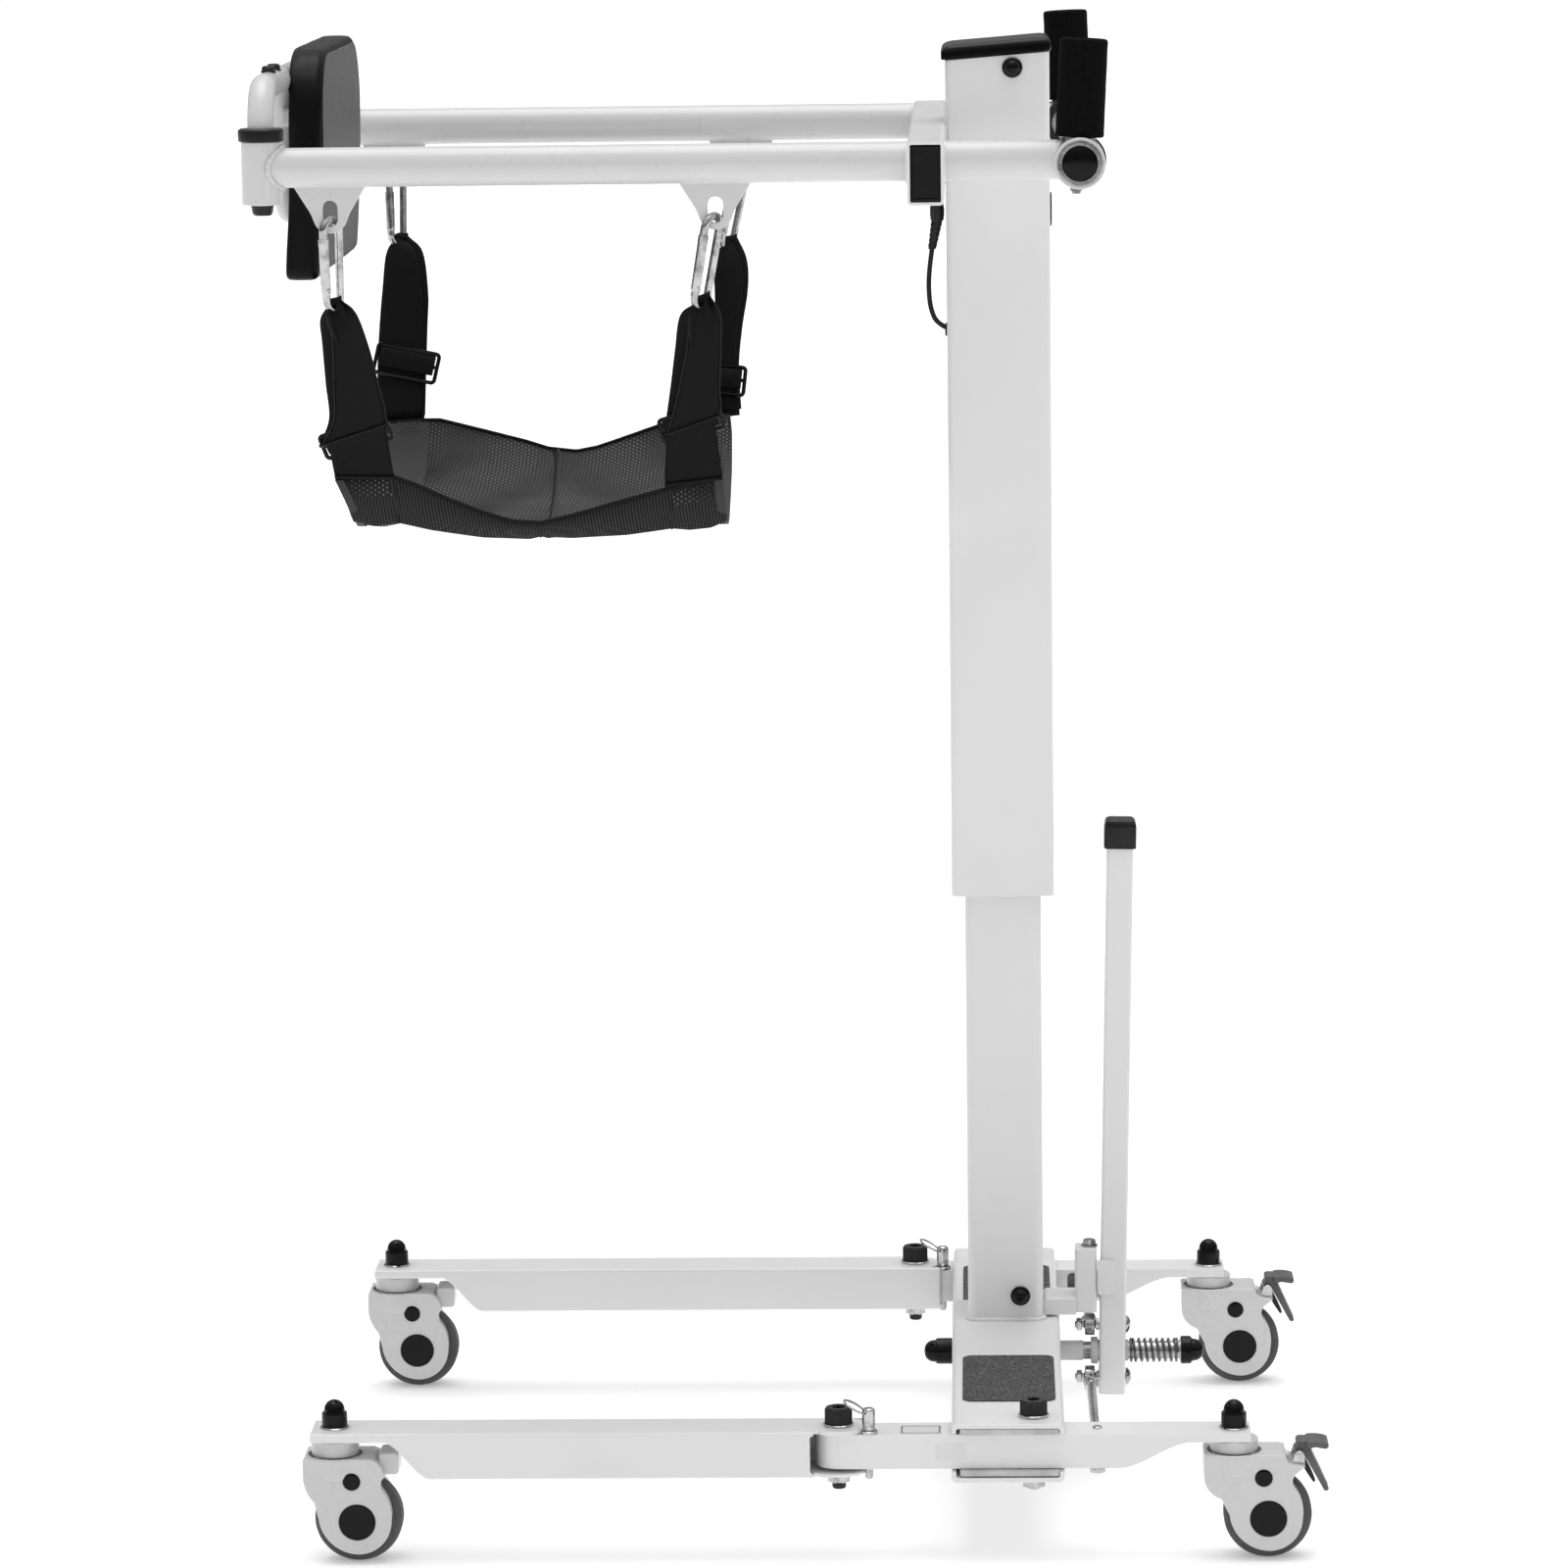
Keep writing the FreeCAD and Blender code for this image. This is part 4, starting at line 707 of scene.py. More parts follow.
def crossbeam():
    """Hollow beam across the lift, its grip pads, the legs' bearing plates and pivot bolts."""
    (x0, x1), half, (low, top) = BEAM
    beam = block("base_beam", (x0, x1), (-345, 345), (low, top))
    saddle = prism("saddle", [(-92, top - 2), (-90, top), (-44, 140), (44, 140), (90, top), (92, top - 2)],
                   x0, x1, "x")
    soften(fuse(beam, saddle), 5, 4, 40)
    cuts = [block("inside", (x0 + 4, x1 - 4), (-350, 350), (low + 4, top - 4), 2, "y")]
    for s in (-1, 1):
        cuts.append(block("end", (x0 - 5, x1 + 5), sorted((s * half, s * 360)), (50, 160)))
        cuts.append(block("mouth", (x0 - 5, x1 + 5), sorted((s * 256, s * 330)), (80, 113.5), 1.5, "x"))
    cuts.append(cylinder("bore", 100, 250, 8.2, "x", (0, SHAFT_Z), 40))
    dress(paint(soften(carve(beam, *cuts), 0.4, 1), WHITE), "base", ["base_crossbeam"])

    for name, s in SIDES:
        pad = block("grip_pad_" + name, (139.5, 219.5), sorted((s * 91, s * 247)), (top + 0.1, top + 1.3),
                    9)
        dress(paint(soften(pad, 0.5, 2, 60), GRIT), "base", ["grip_pads"])
        plates = []
        for span in ((112.0, 117.4), (76.2, 81.0)):
            plate = block("plate", (137, 222), sorted((s * 269, s * 321)), span, 3)
            plates.append(paint(soften(plate, 0.5, 2, 60), NYLON))
        dress(join("bearing_plates_" + name, *plates), "base", ["leg_bearing_plates"])
        at = (PIVOT_X, s * LEG_Y)
        bolt = [paint(socket_screw("head", top + 2.4, top + 15, 11.7, at), BOLT),
                paint(washer("washer", top + 0.05, top + 2.5, 13, at), CHROME),
                paint(lathe("shank", [(low - 12, 0), (low - 12, 5), (low - 11, 6), (top + 3, 6),
                                      (top + 3, 0)], "z", at, 32), CHROME),
                paint(hex_nut("nut", low - 10, low - 1.6, 9.4, at), CHROME),
                paint(washer("lower_washer", low - 1.7, low - 0.05, 11.5, at), CHROME)]
        dress(join("leg_pivot_bolt_" + name, *bolt), "base", ["leg_pivot_bolts"])


def square_tube(name, half, span, radii, steps):
    """One of the column's tubes; radii are those of its outer and inner corners."""
    outlines = [rectangle((COLUMN_X - h, COLUMN_X + h), (-h, h), r, steps)
                for h, r in zip((half, half - COLUMN_WALL), radii)]
    return pipe_prism(name, *outlines, *span)


def column():
    """Telescopic column: the inner tube on the beam, the outer one on it, cap, cover and cross bolts."""
    x = COLUMN_X
    inner = square_tube("column_inner", INNER_HALF, INNER_SPAN, (8, 4), 8)
    foot = rounded([(x - 34, -34, 141), (x + 34, -34, 141), (x + 34, 34, 141), (x - 34, 34, 141)], 8.5, 8)
    seam = []
    for a, b in zip(foot, foot[1:] + foot[:1]):
        count = max(1, round((b - a).length / 1.6))
        seam += [a.lerp(b, k / count) for k in range(count)]
    inner = join("column_inner_tube_visual", paint(inner, WHITE),
                 paint(weld_bead("foot_weld", seam, 2.1, True), WHITE))
    dress(inner, "base", ["column_inner_tube"])
    dress(bolt_cap("column_lower_bolt_visual", LOW_BOLT_Z, INNER_HALF), "base",
          ["column_lower_bolt"])

    outer = square_tube("column_outer_tube_visual", OUTER_HALF, OUTER_SPAN, (5.5, 2.5), 6)
    slope_top(outer)
    dress(paint(soften(outer, 0.6, 2, 60), WHITE), "mast", ["column_outer_tube"])
    dress(bolt_cap("mast_bolt_visual", MAST_BOLT_Z, OUTER_HALF), "mast", ["mast_bolt"])

    # the cap and the tube's mouth under it rise a little toward the back
    levels = [(1261.3, 0.8, 6), (1262.1, 0, 6.5), (1267.7, 0, 6.5), (1269.8, 0.5, 6.5), (1271.5, 1.6, 6.5),
              (1272.8, 3.3, 6), (1273.7, 5.6, 6), (1274.2, 9, 5), (1274.3, 20, 4)]
    cap = drawn_in("column_cap", (x - 48.5, x + 46.5), (-46.5, 46.5), levels, 8)
    dress(paint(slope_top(cap), GLOSS), "mast", ["tube_plugs"])

    cover = [[(px, py, pz) for py, pz in rectangle((-w, w), (COVER_Z - h, COVER_Z + h), w - 0.2, 8)]
             for px, w, h in ((223, 8, 15), (224, 8, 15), (224.7, 7.4, 14.4), (225, 6, 13))]
    dress(paint(loft("column_rear_cover", cover), BLACK), "mast")

    for node, look, kind in (("actuator_body", BLACK, "black_plastic"), ("actuator_rod", CHROME, "zinc"),
                             ("inner_glides", NYLON, "nylon"), ("outer_glides", NYLON, "nylon")):
        finish_node(node, look)


def slope_top(obj):
    """Shears the upper end of a column piece so that it climbs toward the back."""
    for vertex in obj.data.vertices:
        if vertex.co.z > SLOPE_ABOVE * MM:
            vertex.co.z += TOP_SLOPE * (vertex.co.x - COLUMN_X * MM)
    return obj


def finish_node(node, look):
    """A CAD node that is shown as it is gets a real material and softened edges."""
    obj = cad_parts[node]
    obj.data.materials.clear()
    obj.data.materials.append(look)
    step = obj.modifiers.new("soft_edges", "BEVEL")
    step.width, step.segments, step.limit_method = 0.4 * MM, 2, "ANGLE"


# ---------------------------------------------------------------- arms, hangers and handles

def arms():
    """Two arms, each with a hinge sleeve in front and a handle behind."""
    for name, s in SIDES:
        y, z = s * ARM_Y, ARM_Z
        tube = lathe("arm", [(SLEEVE_X + 6, 14), (SLEEVE_X + 6, ARM_R), (HANDLE_X - 7, ARM_R),
                             (HANDLE_X - 7, 14)], "x", (y, z), 64, closed=True)
        sleeve = lathe("sleeve", [(-30, 0), (-30, 16.2), (-29.4, 16.8), (21.4, 16.8), (22, 16.2), (22, 0)],
                       "z", (SLEEVE_X, y), 64, base=z)
        bore = 11.4 if s < 0 else 11.8
        cuts = [cylinder("bore", z - 40, z + 30, bore, "z", (SLEEVE_X, y), 64)]
        if s > 0:
            cuts.append(block("cradle", (SLEEVE_X - 30, SLEEVE_X), (y - bore, y + bore), (z - 40, z + 30)))
        carve(fuse(tube, sleeve), *cuts)
        saddle = []
        for k in range(49):
            t = 2 * pi * k / 48
            dy, dz = 16.9 * sin(t), 16.9 * cos(t)
            saddle.append((SLEEVE_X + 17.4 - 10.4 * sin(t) ** 2, y + dy, z + dz))
        bead = weld_bead("sleeve_weld", smooth_line(saddle[:-1], 4), 2.3, True)

        # handle tube across the arm's end, its neck and the leaning grip
        hx, hz = HANDLE_X - 2.5, z - 2
        handle = lathe("handle", [(-24, 18), (-24, 20.6), (-23.4, 21.2), (23.4, 21.2), (24, 20.6),
                                  (24, 18)], "y", (hx, hz), 72, closed=True, base=y)
        rim = [(hx - sqrt(21.5 ** 2 - (16.6 * cos(2 * pi * k / 40)) ** 2) + 0.4,
                y + 16.9 * sin(2 * pi * k / 40), z + 16.9 * cos(2 * pi * k / 40))
               for k in range(40)]
        weld = weld_bead("handle_weld", smooth_line(rim, 4), 1.4, True)
        neck = cylinder("neck", z + 14, z + 92, 12, "z", (hx, y))
        collar = lathe("neck_weld", [(15.6, 11), (16, 13.6), (17.6, 13.2), (18.6, 11)], "z", (hx, y),
                       closed=True, base=z)
        arm = join("arm_tube_" + name, *painted(SHADED_WHITE, tube, bead, handle, weld, neck, collar))
        dress(soften(arm, 0.5, 2, 55), "mast", [name + "_arm"])

        grip(name, s, y, z)
        handle_ends(name, s, y, hz)
        if s < 0:
            ring = lathe("hinge_collar", [(22.1, 11.4), (22.1, 18), (22.7, 18.9), (30.6, 19), (32, 18.2),
                                          (32.8, 16.8), (33, 14.5), (33, 11.4)], "z", (SLEEVE_X, y), 64,
                         closed=True, base=z)
            dress(paint(ring, BLACK), "mast", ["tube_plugs"])


def grip(name, s, y, z):
    """Foam grip: a plain sleeve with a flat end. The near one leans back a little, the far one forward."""
    x = HANDLE_X - 2.4
    profile = [(18.8, 0), (18.8, 19.2), (19.6, 19.9), (21.4, 20.1), (24.4, 19.95)]
    profile += [(24.4 + k * 6.2, 19.95 + 0.08 * sin(k * 1.7)) for k in range(1, 12)]
    profile += [(96.4, 20), (98, 19.6), (98.9, 18.7), (99.1, 17.4), (99.1, 13), (98.4, 12.4), (98.2, 0)]
    piece = lathe("handle_grip_" + name, profile, "z", (x, y), 64, base=z)
    turn(piece, (0, 2.8 if s < 0 else -2.2, 0), (x, y, z + 18.6))
    dress(paint(piece, FOAM), "mast", ["handle_grips"])


def handle_ends(name, s, y, z):
    """Outer end: bright ring and black plug in the tube's mouth. Inner end: black ring and grey disc."""
    x, out, inn = HANDLE_X - 2.5, y + s * 24, y - s * 24
    at = (x, z)
    ring = lathe("ring", [(-4, 14.9), (-4, 18), (0.4, 18.9), (1.0, 18.6), (1.1, 17.6), (0.5, 17.0),
                          (0.5, 16.4), (1.3, 15.8), (1.3, 14.9)], "y", at, 72, closed=True, base=out, way=s)
    plug = lathe("plug", [(-4, 0), (-4, 14.9), (0.9, 14.9), (1.6, 14.4), (2.4, 12), (2.9, 8), (3.1, 0)],
                 "y", at, 72, base=out, way=s)
    skirt = lathe("skirt", [(3, 16), (3, 21.8), (1.8, 22.6), (-1.4, 22.6), (-2.6, 21.4), (-2.6, 16)],
                  "y", at, 72, closed=True, base=inn, way=s)
    disc = lathe("disc", [(2, 0), (2, 16.3), (-2.0, 16.3), (-2.7, 15.4), (-2.9, 9), (-2.6, 8.4), (-2.6, 0)],
                 "y", at, 72, base=inn, way=s)
    screw = lathe("screw", [(-25.4, 0), (-25.4, 3), (-24.8, 3.6, "hex"), (-23.4, 3.6, "hex"), (-23, 4.4),
                            (-22.6, 5.2), (-19.5, 5.2), (-19.5, 0)], "z", (x - 3, y + s * 12), 24, base=z)
    parts = [paint(ring, STEEL), paint(plug, GLOSS), paint(skirt, BLACK), paint(disc, STEEL),
             paint(screw, STEEL)]
    dress(join("handle_fittings_" + name, *parts), "mast", ["tube_plugs"])


def cross_tube():
    """Rectangular tube that joins both arms to the column, with its welds and end plugs."""
    x = (102.4, 132.9)
    z = (1152, 1204.4)
    tube = pipe_prism("cross_tube_visual", rectangle(x, z, 3.5, 5),
                      rectangle((x[0] + 2.6, x[1] - 2.6), (z[0] + 2.6, z[1] - 2.6), 1.2, 5), -320, 320, "y")
    soften(tube, 0.5, 2, 60)
    beads = []
    for s in (-1, 1):
        for face, way in ((x[0], -1), (x[1], 1)):
            loop = [(face + way * 0.3, s * ARM_Y + 17.2 * sin(t), ARM_Z + 17.2 * cos(t))
                    for t in np.linspace(0.55, 2 * pi - 0.55, 60)]
            beads.append(weld_bead("arm_weld", loop, 1.3))
    for zz in (z[0] + 1, z[1] - 1):
        beads.append(weld_bead("column_weld", [(132.6, y, zz) for y in np.arange(-42, 42.1, 1.5)], 1.8))
    for y in (-44, 44):
        line = [(132.8, y, zz) for zz in np.arange(z[0] + 2, z[1] - 1, 1.5)]
        beads.append(weld_bead("column_weld", line, 1.6))
    dress(join("cross_tube_visual", *painted(WHITE, tube, *beads)), "mast", ["cross_tube"])
    for name, s in SIDES:
        levels = ((313, 0), (318.2, 0), (318.6, 0.4), (318.7, 1.4), (317.8, 2.2), (317.7, 4))
        rings = [[(px, s * level, pz) for px, pz in rectangle(
            (x[0] + 2.7 + i, x[1] - 2.7 - i), (z[0] + 2.7 + i, z[1] - 2.7 - i), 1.4, 5)]
                 for level, i in levels]
        dress(paint(loft("cross_tube_plug_" + name, rings), GLOSS), "mast", ["tube_plugs"])


def arc_outline(*items, steps=10):
    """A closed outline of (x, z) points; a pair of points instead of one is an arc: middle, then end."""
    points = [Vector(items[0])]
    for item in items[1:]:
        if not hasattr(item[0], "__len__"):
            points.append(Vector(item))
            continue
        a, m, b = points[-1], Vector(item[0]), Vector(item[1])
        d = 2 * (a.x * (m.y - b.y) + m.x * (b.y - a.y) + b.x * (a.y - m.y))
        sa, sm, sb = a.length_squared, m.length_squared, b.length_squared
        centre = Vector(((sa * (m.y - b.y) + sm * (b.y - a.y) + sb * (a.y - m.y)) / d,
                         (sa * (b.x - m.x) + sm * (a.x - b.x) + sb * (m.x - a.x)) / d))
        r = (a - centre).length
        start, mid, end = (atan2(p.y - centre.y, p.x - centre.x) for p in (a, m, b))
        sweep = (end - start) % (2 * pi)
        if (mid - start) % (2 * pi) > sweep:
            sweep -= 2 * pi
        points += [centre + r * Vector((cos(start + sweep * k / steps), sin(start + sweep * k / steps)))
                   for k in range(1, steps + 1)]
    if (points[0] - points[-1]).length < 0.01:
        points.pop()
    return points


def shifted(outline, x, z):
    """An outline moved to a place."""
    return [(p[0] + x, p[1] + z) for p in outline]


def hangers():
    """Slotted plates under the arms that the spring hooks hang from."""
    shape = arc_outline((-30, 4), (-30, 0), (-17.5, -20), ((-15.2, -24.5), (-13.6, -29)),
                        ((0, -39), (13.6, -29)), ((15.2, -24.5), (17.5, -20)), (30, 0), (30, 4))
    slot = arc_outline((-6.3, -27), ((0, -33.3), (6.3, -27)), (6.3, -18), ((0, -11.7), (-6.3, -18)))
    for side, s in SIDES:
        for end in ENDS:
            x, y = HANGER_X[end], s * ARM_Y
            plate = prism("hanger", shifted(shape, x, 1171.5), y - 2.5, y + 2.5, "y")
            carve(plate, prism("slot", shifted(slot, x, 1171.5), y - 9, y + 9, "y"))
            soften(plate, 0.7, 2, 55)
            beads = [weld_bead("hanger_weld", [(px, y + w * 2.6, 1171.9 - 0.2 * abs(w)) for px in
                                               np.arange(x - 28.5, x + 28.6, 1.5)], 1.3) for w in (-1, 1)]
            dress(join(f"hanger_{end}_{side}", *painted(SHADED_WHITE, plate, *beads)), "mast",
                  ["hanger_brackets"])


# ---------------------------------------------------------------- legs

def leg_blank(name, s, tip, inner, top, tall, wide, curve):
    """Solid leg section: a flat plate over the caster that swells into the full tube."""
    low, plate, y = top - tall, 8, s * LEG_Y
    x1, x2 = curve
    side = [(tip, top), (inner, top), (inner, low), (x2, low)]
    for k in range(1, 12):
        t = k / 12
        ease = t * t * (3 - 2 * t)
        side.append((x2 + (x1 - x2) * t, low + (tall - plate) * (0.35 * t + 0.65 * ease)))
    side += [(x1, top - plate), (tip, top - plate)]
    return prism(name, side, y - wide / 2, y + wide / 2, "y")


def front_leg(name, s):
    """Hollow front leg, open where it folds, with its fold bolt and caster stem."""
    hx, y, top = HINGE_X[name], s * LEG_Y, LEG_TOP["front"]
    low = top - 40
    leg = leg_blank("front_leg_" + name, s, -415.5, hx, top, 40, 50, (-351, -315))
    fuse(leg, cylinder("round", low, top, 25, "z", (hx, y), 96),
         block("corner", (hx, hx + 24), sorted((y, y - s * 25)), (low, top)))
    soften(leg, 2.2, 3, 50)
    cuts = [block("hollow", (-292, hx + 40), (y - 22, y + 22), (low + 3, top - 3), 1.5, "x"),
            block("window", (hx - 24, hx + 40), sorted((y + s * 13, y + s * 37)), (low + 3, top - 3), 3,
                  "y")]
    for z_span in ((low - 1, low + 3.01), (top - 3.01, top + 1)):
        trim = block("trim", (hx + 1, hx + 40), sorted((y - s * 22, y + s * 4)), z_span)
        cuts.append(carve(trim, cylinder("round", 60, 130, 25, "z", (hx, y), 96)))
    if s < 0:
        relief = block("relief", (hx - 21, hx), sorted((y + s * 19, y + s * 31)), (60, 130))
        cuts.append(carve(relief, cylinder("round", 59, 131, 25.7, "z", (hx, y), 96)))
    dress(paint(soften(carve(leg, *cuts), 0.35, 1, 50), WHITE), name + "_front_leg",
          [name + "_front_leg"])

    at = (hx, y)
    bolt = [paint(washer("washer", top + 0.05, top + 2, 13, at), CHROME),
            paint(socket_screw("head", top + 1.9, top + 16, 11.7, at), BOLT),
            paint(lathe("shank", [(low - 15, 0), (low - 15, 5), (low - 14, 5.9), (top + 3, 5.9),
                                  (top + 3, 0)], "z", at, 32), BOLT),
            paint(hex_nut("nut", low - 9, low - 1.5, 9.3, at), CHROME),
            paint(washer("under", low - 1.6, low - 0.05, 12, at), CHROME)]
    parts = bolt + stem("front", y)
    dress(join("front_leg_bolts_" + name, *parts), name + "_front_leg", [name + "_front_bolts"])


def stem(end, y):
    """Caster stem, its fixed neck ring under the leg plate and the domed cap on top."""
    x, top = SWIVEL_X[end], LEG_TOP[end]
    at = (x, y)
    neck = lathe("neck", [(92.2, 0), (92.2, 19.2), (93, 20.2), (top - 11, 20.7), (top - 9.4, 20.7),
                          (top - 8.6, 19.8), (top - 8.05, 19.4), (top - 8.05, 0)], "z", at, 72)
    thread = cylinder("stem", 80, top + 6, 5.9, "z", at, 32)
    skirt = lathe("skirt", [(0.05, 0), (0.05, 12), (0.7, 12.3), (1.4, 11.6), (1.6, 0)], "z", at, base=top)
    return [paint(neck, NECK), paint(thread, CHROME), paint(skirt, CHROME),
            paint(dome_cap("cap", top + 1.4, 1, at, tall=12.4), GLOSS)]


def rear_leg(name, s):
    """Rear leg: a window for the tie rod, the rod's stud, the caster stem; blank labels on the left one."""
    hx, y, top = HINGE_X[name], s * LEG_Y, LEG_TOP["rear"]
    low = top - 30
    leg = leg_blank("rear_leg_" + name, s, SWIVEL_X["rear"] + 14, hx, top, 30, 40, (331, 275))
    fuse(leg, cylinder("round", low, top, 19.5, "z", (hx, y), 96))
    soften(leg, 2.0, 3, 50)
    cuts = [block("hollow", (hx + 36, 262), (y - 17, y + 17), (low + 3, top - 3), 1.5, "x"),
            block("window", (STUD_X - 17, STUD_X + 17), sorted((y - s * 10, y - s * 38)),
                  (low + 3, top - 3), 4, "y")]
    carve(leg, *cuts)
    dress(paint(soften(leg, 0.35, 1, 50), WHITE), name + "_leg", [name + "_rear_leg"])

    at = (STUD_X, y)
    stud = [lathe("stud", [(low - 9, 0), (low - 9, 3.4), (low - 8.4, 4), (top + 1, 4), (top + 1.6, 3.2),
                           (top + 1.6, 0)], "z", at, 32),
            lathe("flange", [(-3.5, 0), (-3.5, 10.6), (-3, 11), (-0.6, 11), (-0.05, 10.6), (-0.05, 0)], "z",
                  at, base=low),
            hex_nut("nut", low - 8.4, low - 3.4, 6.6, at)]
    parts = painted(CHROME, *stud) + stem("rear", y)
    dress(join("rear_leg_bolts_" + name, *parts), name + "_leg", [name + "_rear_bolts"])

    if s < 0:
        film = block("film", (hx + 52, hx + 88), (y - 18 + 0.5, y + 9.5), (top - 0.05, top + 0.22), 2)
        line = pipe_prism("line", rectangle((hx + 53.4, hx + 86.6), (y - 16.1, y + 8.1), 1.5),
                          rectangle((hx + 54.6, hx + 85.4), (y - 14.6, y + 6.6), 1.1), top + 0.2,
                          top + 0.27)
        patch = block("patch", (116.5, 142), (y - 20.25, y - 19.9), (89, 103), 2, "y")
        labels = join("rear_leg_labels", paint(film, LABEL), paint(line, LINE), paint(patch, LABEL))
        dress(labels, name + "_leg")


def quick_pin(name, s):
    """Locking pin just outside the hinge, with its finger ring lying back."""
    x, y, top = HINGE_X[name] + 26, s * LEG_Y - 14, LEG_TOP["front"]
    pin = lathe("pin", [(72, 0), (72, 2.4), (74, 3.5), (top - 3.2, 3.5), (top - 3.2, 7.2), (top - 2.7, 7.5),
                        (top - 1.3, 7.5), (top - 0.8, 7), (top - 0.6, 5.2), (top + 2, 5.4),
                        (top + 2.4, 5.0), (top + 3.4, 5.0), (top + 3.8, 5.5), (top + 16.4, 5.5),
                        (top + 17.6, 4.9), (top + 18.6, 3.4), (top + 19, 0)], "z", (x, y), 40)
    turn_angle = radians(30)
    centre = Vector((x - 11.4, y, top + 19.2))
    loop = [centre + 10.8 * Vector((cos(t) * cos(turn_angle), sin(t), -cos(t) * sin(turn_angle)))
            for t in np.linspace(0, 2 * pi, 49)[:-1]]
    tip = bar("ring", loop, 0.95, 12, closed=True)
    parts = join("quick_pin_" + name, paint(pin, CHROME), paint(tip, CHROME))
    dress(parts, name + "_pin", [name + "_quick_pin"])


# ---------------------------------------------------------------- casters

def housing_shape(trail, boss):
    """Side view of a caster housing about its wheel's axle."""
    left = -trail - 26
    shape = [(12, 55), (left + 2, 55), ((left + 0.6, 54.4), (left, 53)), (left, 37),
             ((left + 3.5, 25), (-40 + (28.4 - trail) * 0.4, 17)), (-33, 3), ((-20.5, -20.5), (0, -28.5)),
             ((20.5, -20.5), (29, 0)), ((28, 16), (21.5, 28)), ((20.6, 33), (24, 39))]
    shape += [(31.5, 45), (23, 46), ((18, 48), (15, 54))] if boss else [(22, 47), (17, 53)]
    return arc_outline(*shape, steps=12)


def caster(end, side, s):
    """Twin-cheeked housing with its discs, axle, wheel and, behind, a brake."""
    x, y = SWIVEL_X[end], s * LEG_Y
    hub = x + TRAIL[end]
    rear = end == "rear"
    shell = prism("housing", shifted(housing_shape(TRAIL[end], rear), hub, HUB_Z), y - 23, y + 23, "y")
    soften(shell, 3.2, 4, 38)
    boss = lathe("boss", [(74, 0), (74, 23.6), (76, 25.2), (80, 25.5), (90, 25.5), (91.7, 25), (92.5, 23.9),
                          (92.5, 0)], "z", (x, y), 96)
    fuse(shell, boss)
    cuts = [cylinder("wheel_slot", y - 13, y + 13, 40.5, "y", (hub, HUB_Z), 128),
            lathe("recess", [(85.5, 0), (85.5, 23), (86, 23.3), (95, 23.3), (95, 0)], "z", (x, y), 72),
            cylinder("stem_bore", 60, 90, 6.6, "z", (x, y), 32)]
    if rear:
        cuts.append(block("brake_mouth", (hub + 21.5, hub + 40), (y - 12.6, y + 12.6),
                          (HUB_Z + 30, HUB_Z + 62)))
    for way in (-1, 1):
        cuts.append(cylinder("disc_seat", y + way * 22.1, y + way * 30, 16, "y", (hub, HUB_Z), 72))
    carve(shell, *cuts)
    soften(shell, 0.5, 2, 55)
    parts = [paint(shell, SHELL)]
    for way in (-1, 1):
        face = y + way * 23
        for dx, dz, r in ((0, 0, 15.6), (-4, 35.5, 7.5)):
            at = (hub + dx, HUB_Z + dz)
            disc = lathe("disc", [(-1.2, 0), (-1.2, r), (0.2, r), (0.6, r - 0.6), (0.75, r * 0.6),
                                  (0.8, 0)], "y", at, 72, base=face, way=way)
            rim = lathe("rim", [(-1.0, r + 0.3), (-1.0, r + 1.5), (0.3, r + 1.2), (0.5, r + 0.8),
                                (0.3, r + 0.3)],
                        "y", at, 72, closed=True, base=face, way=way)
            parts += [paint(disc, GLOSS), paint(rim, SHELL)]
    parts.append(paint(cylinder("axle", y - 22, y + 22, 6, "y", (hub, HUB_Z), 40), CHROME))
    if rear:
        for way in (-1, 1):
            lug = prism("lug", shifted(arc_outline((19, 44), (31, 44), (31, 53), ((26.5, 57), (22, 53))),
                                       hub, HUB_Z), y + way * 14 - 1.2, y + way * 14 + 1.2, "y")
            parts.append(paint(soften(lug, 0.4, 1), CHROME))
        parts.append(paint(cylinder("pin", y - 15.6, y + 15.6, 2, "y", (hub + 26.5, HUB_Z + 52.5), 24),
                           CHROME))
    else:
        lug = block("front_lug", (-358, -341), (y - 15, y + 15), (77, 96), 3, "y")
        parts.append(paint(soften(lug, 1.6, 3), SHELL))
    name = f"{end}_{side}"
    dress(join(name + "_housing_visual", *parts), name + "_caster", [name + "_housing"])

    tyre = [(37.5 - 6.8, 11.5)] + [(37.5 - 5.2 + 5.2 * sin(t), 6.3 + 5.2 * cos(t))
                                   for t in np.radians([0, 15, 30, 45, 60, 75, 90])]
    profile = [(y + w, r) for r, w in tyre]
    profile += [(y - w, r) for r, w in reversed(tyre)]
    rubber = lathe("tyre", profile, "y", (hub, HUB_Z), 112, closed=True)
    core_line = [(11.5, 30.6), (10.8, 29.8), (8.4, 27.5), (7.8, 14), (9.5, 11.6), (12.4, 10.6), (12.5, 6.4)]
    core = lathe("core", [(y + w, r) for w, r in core_line] + [(y - w, r) for w, r in reversed(core_line)],
                 "y", (hub, HUB_Z), 96, closed=True)
    dress(join(name + "_wheel_visual", paint(rubber, TYRE), paint(core, CORE)), name + "_wheel",
          [name + "_wheel"])
    if rear:
        brake(side, y, hub)


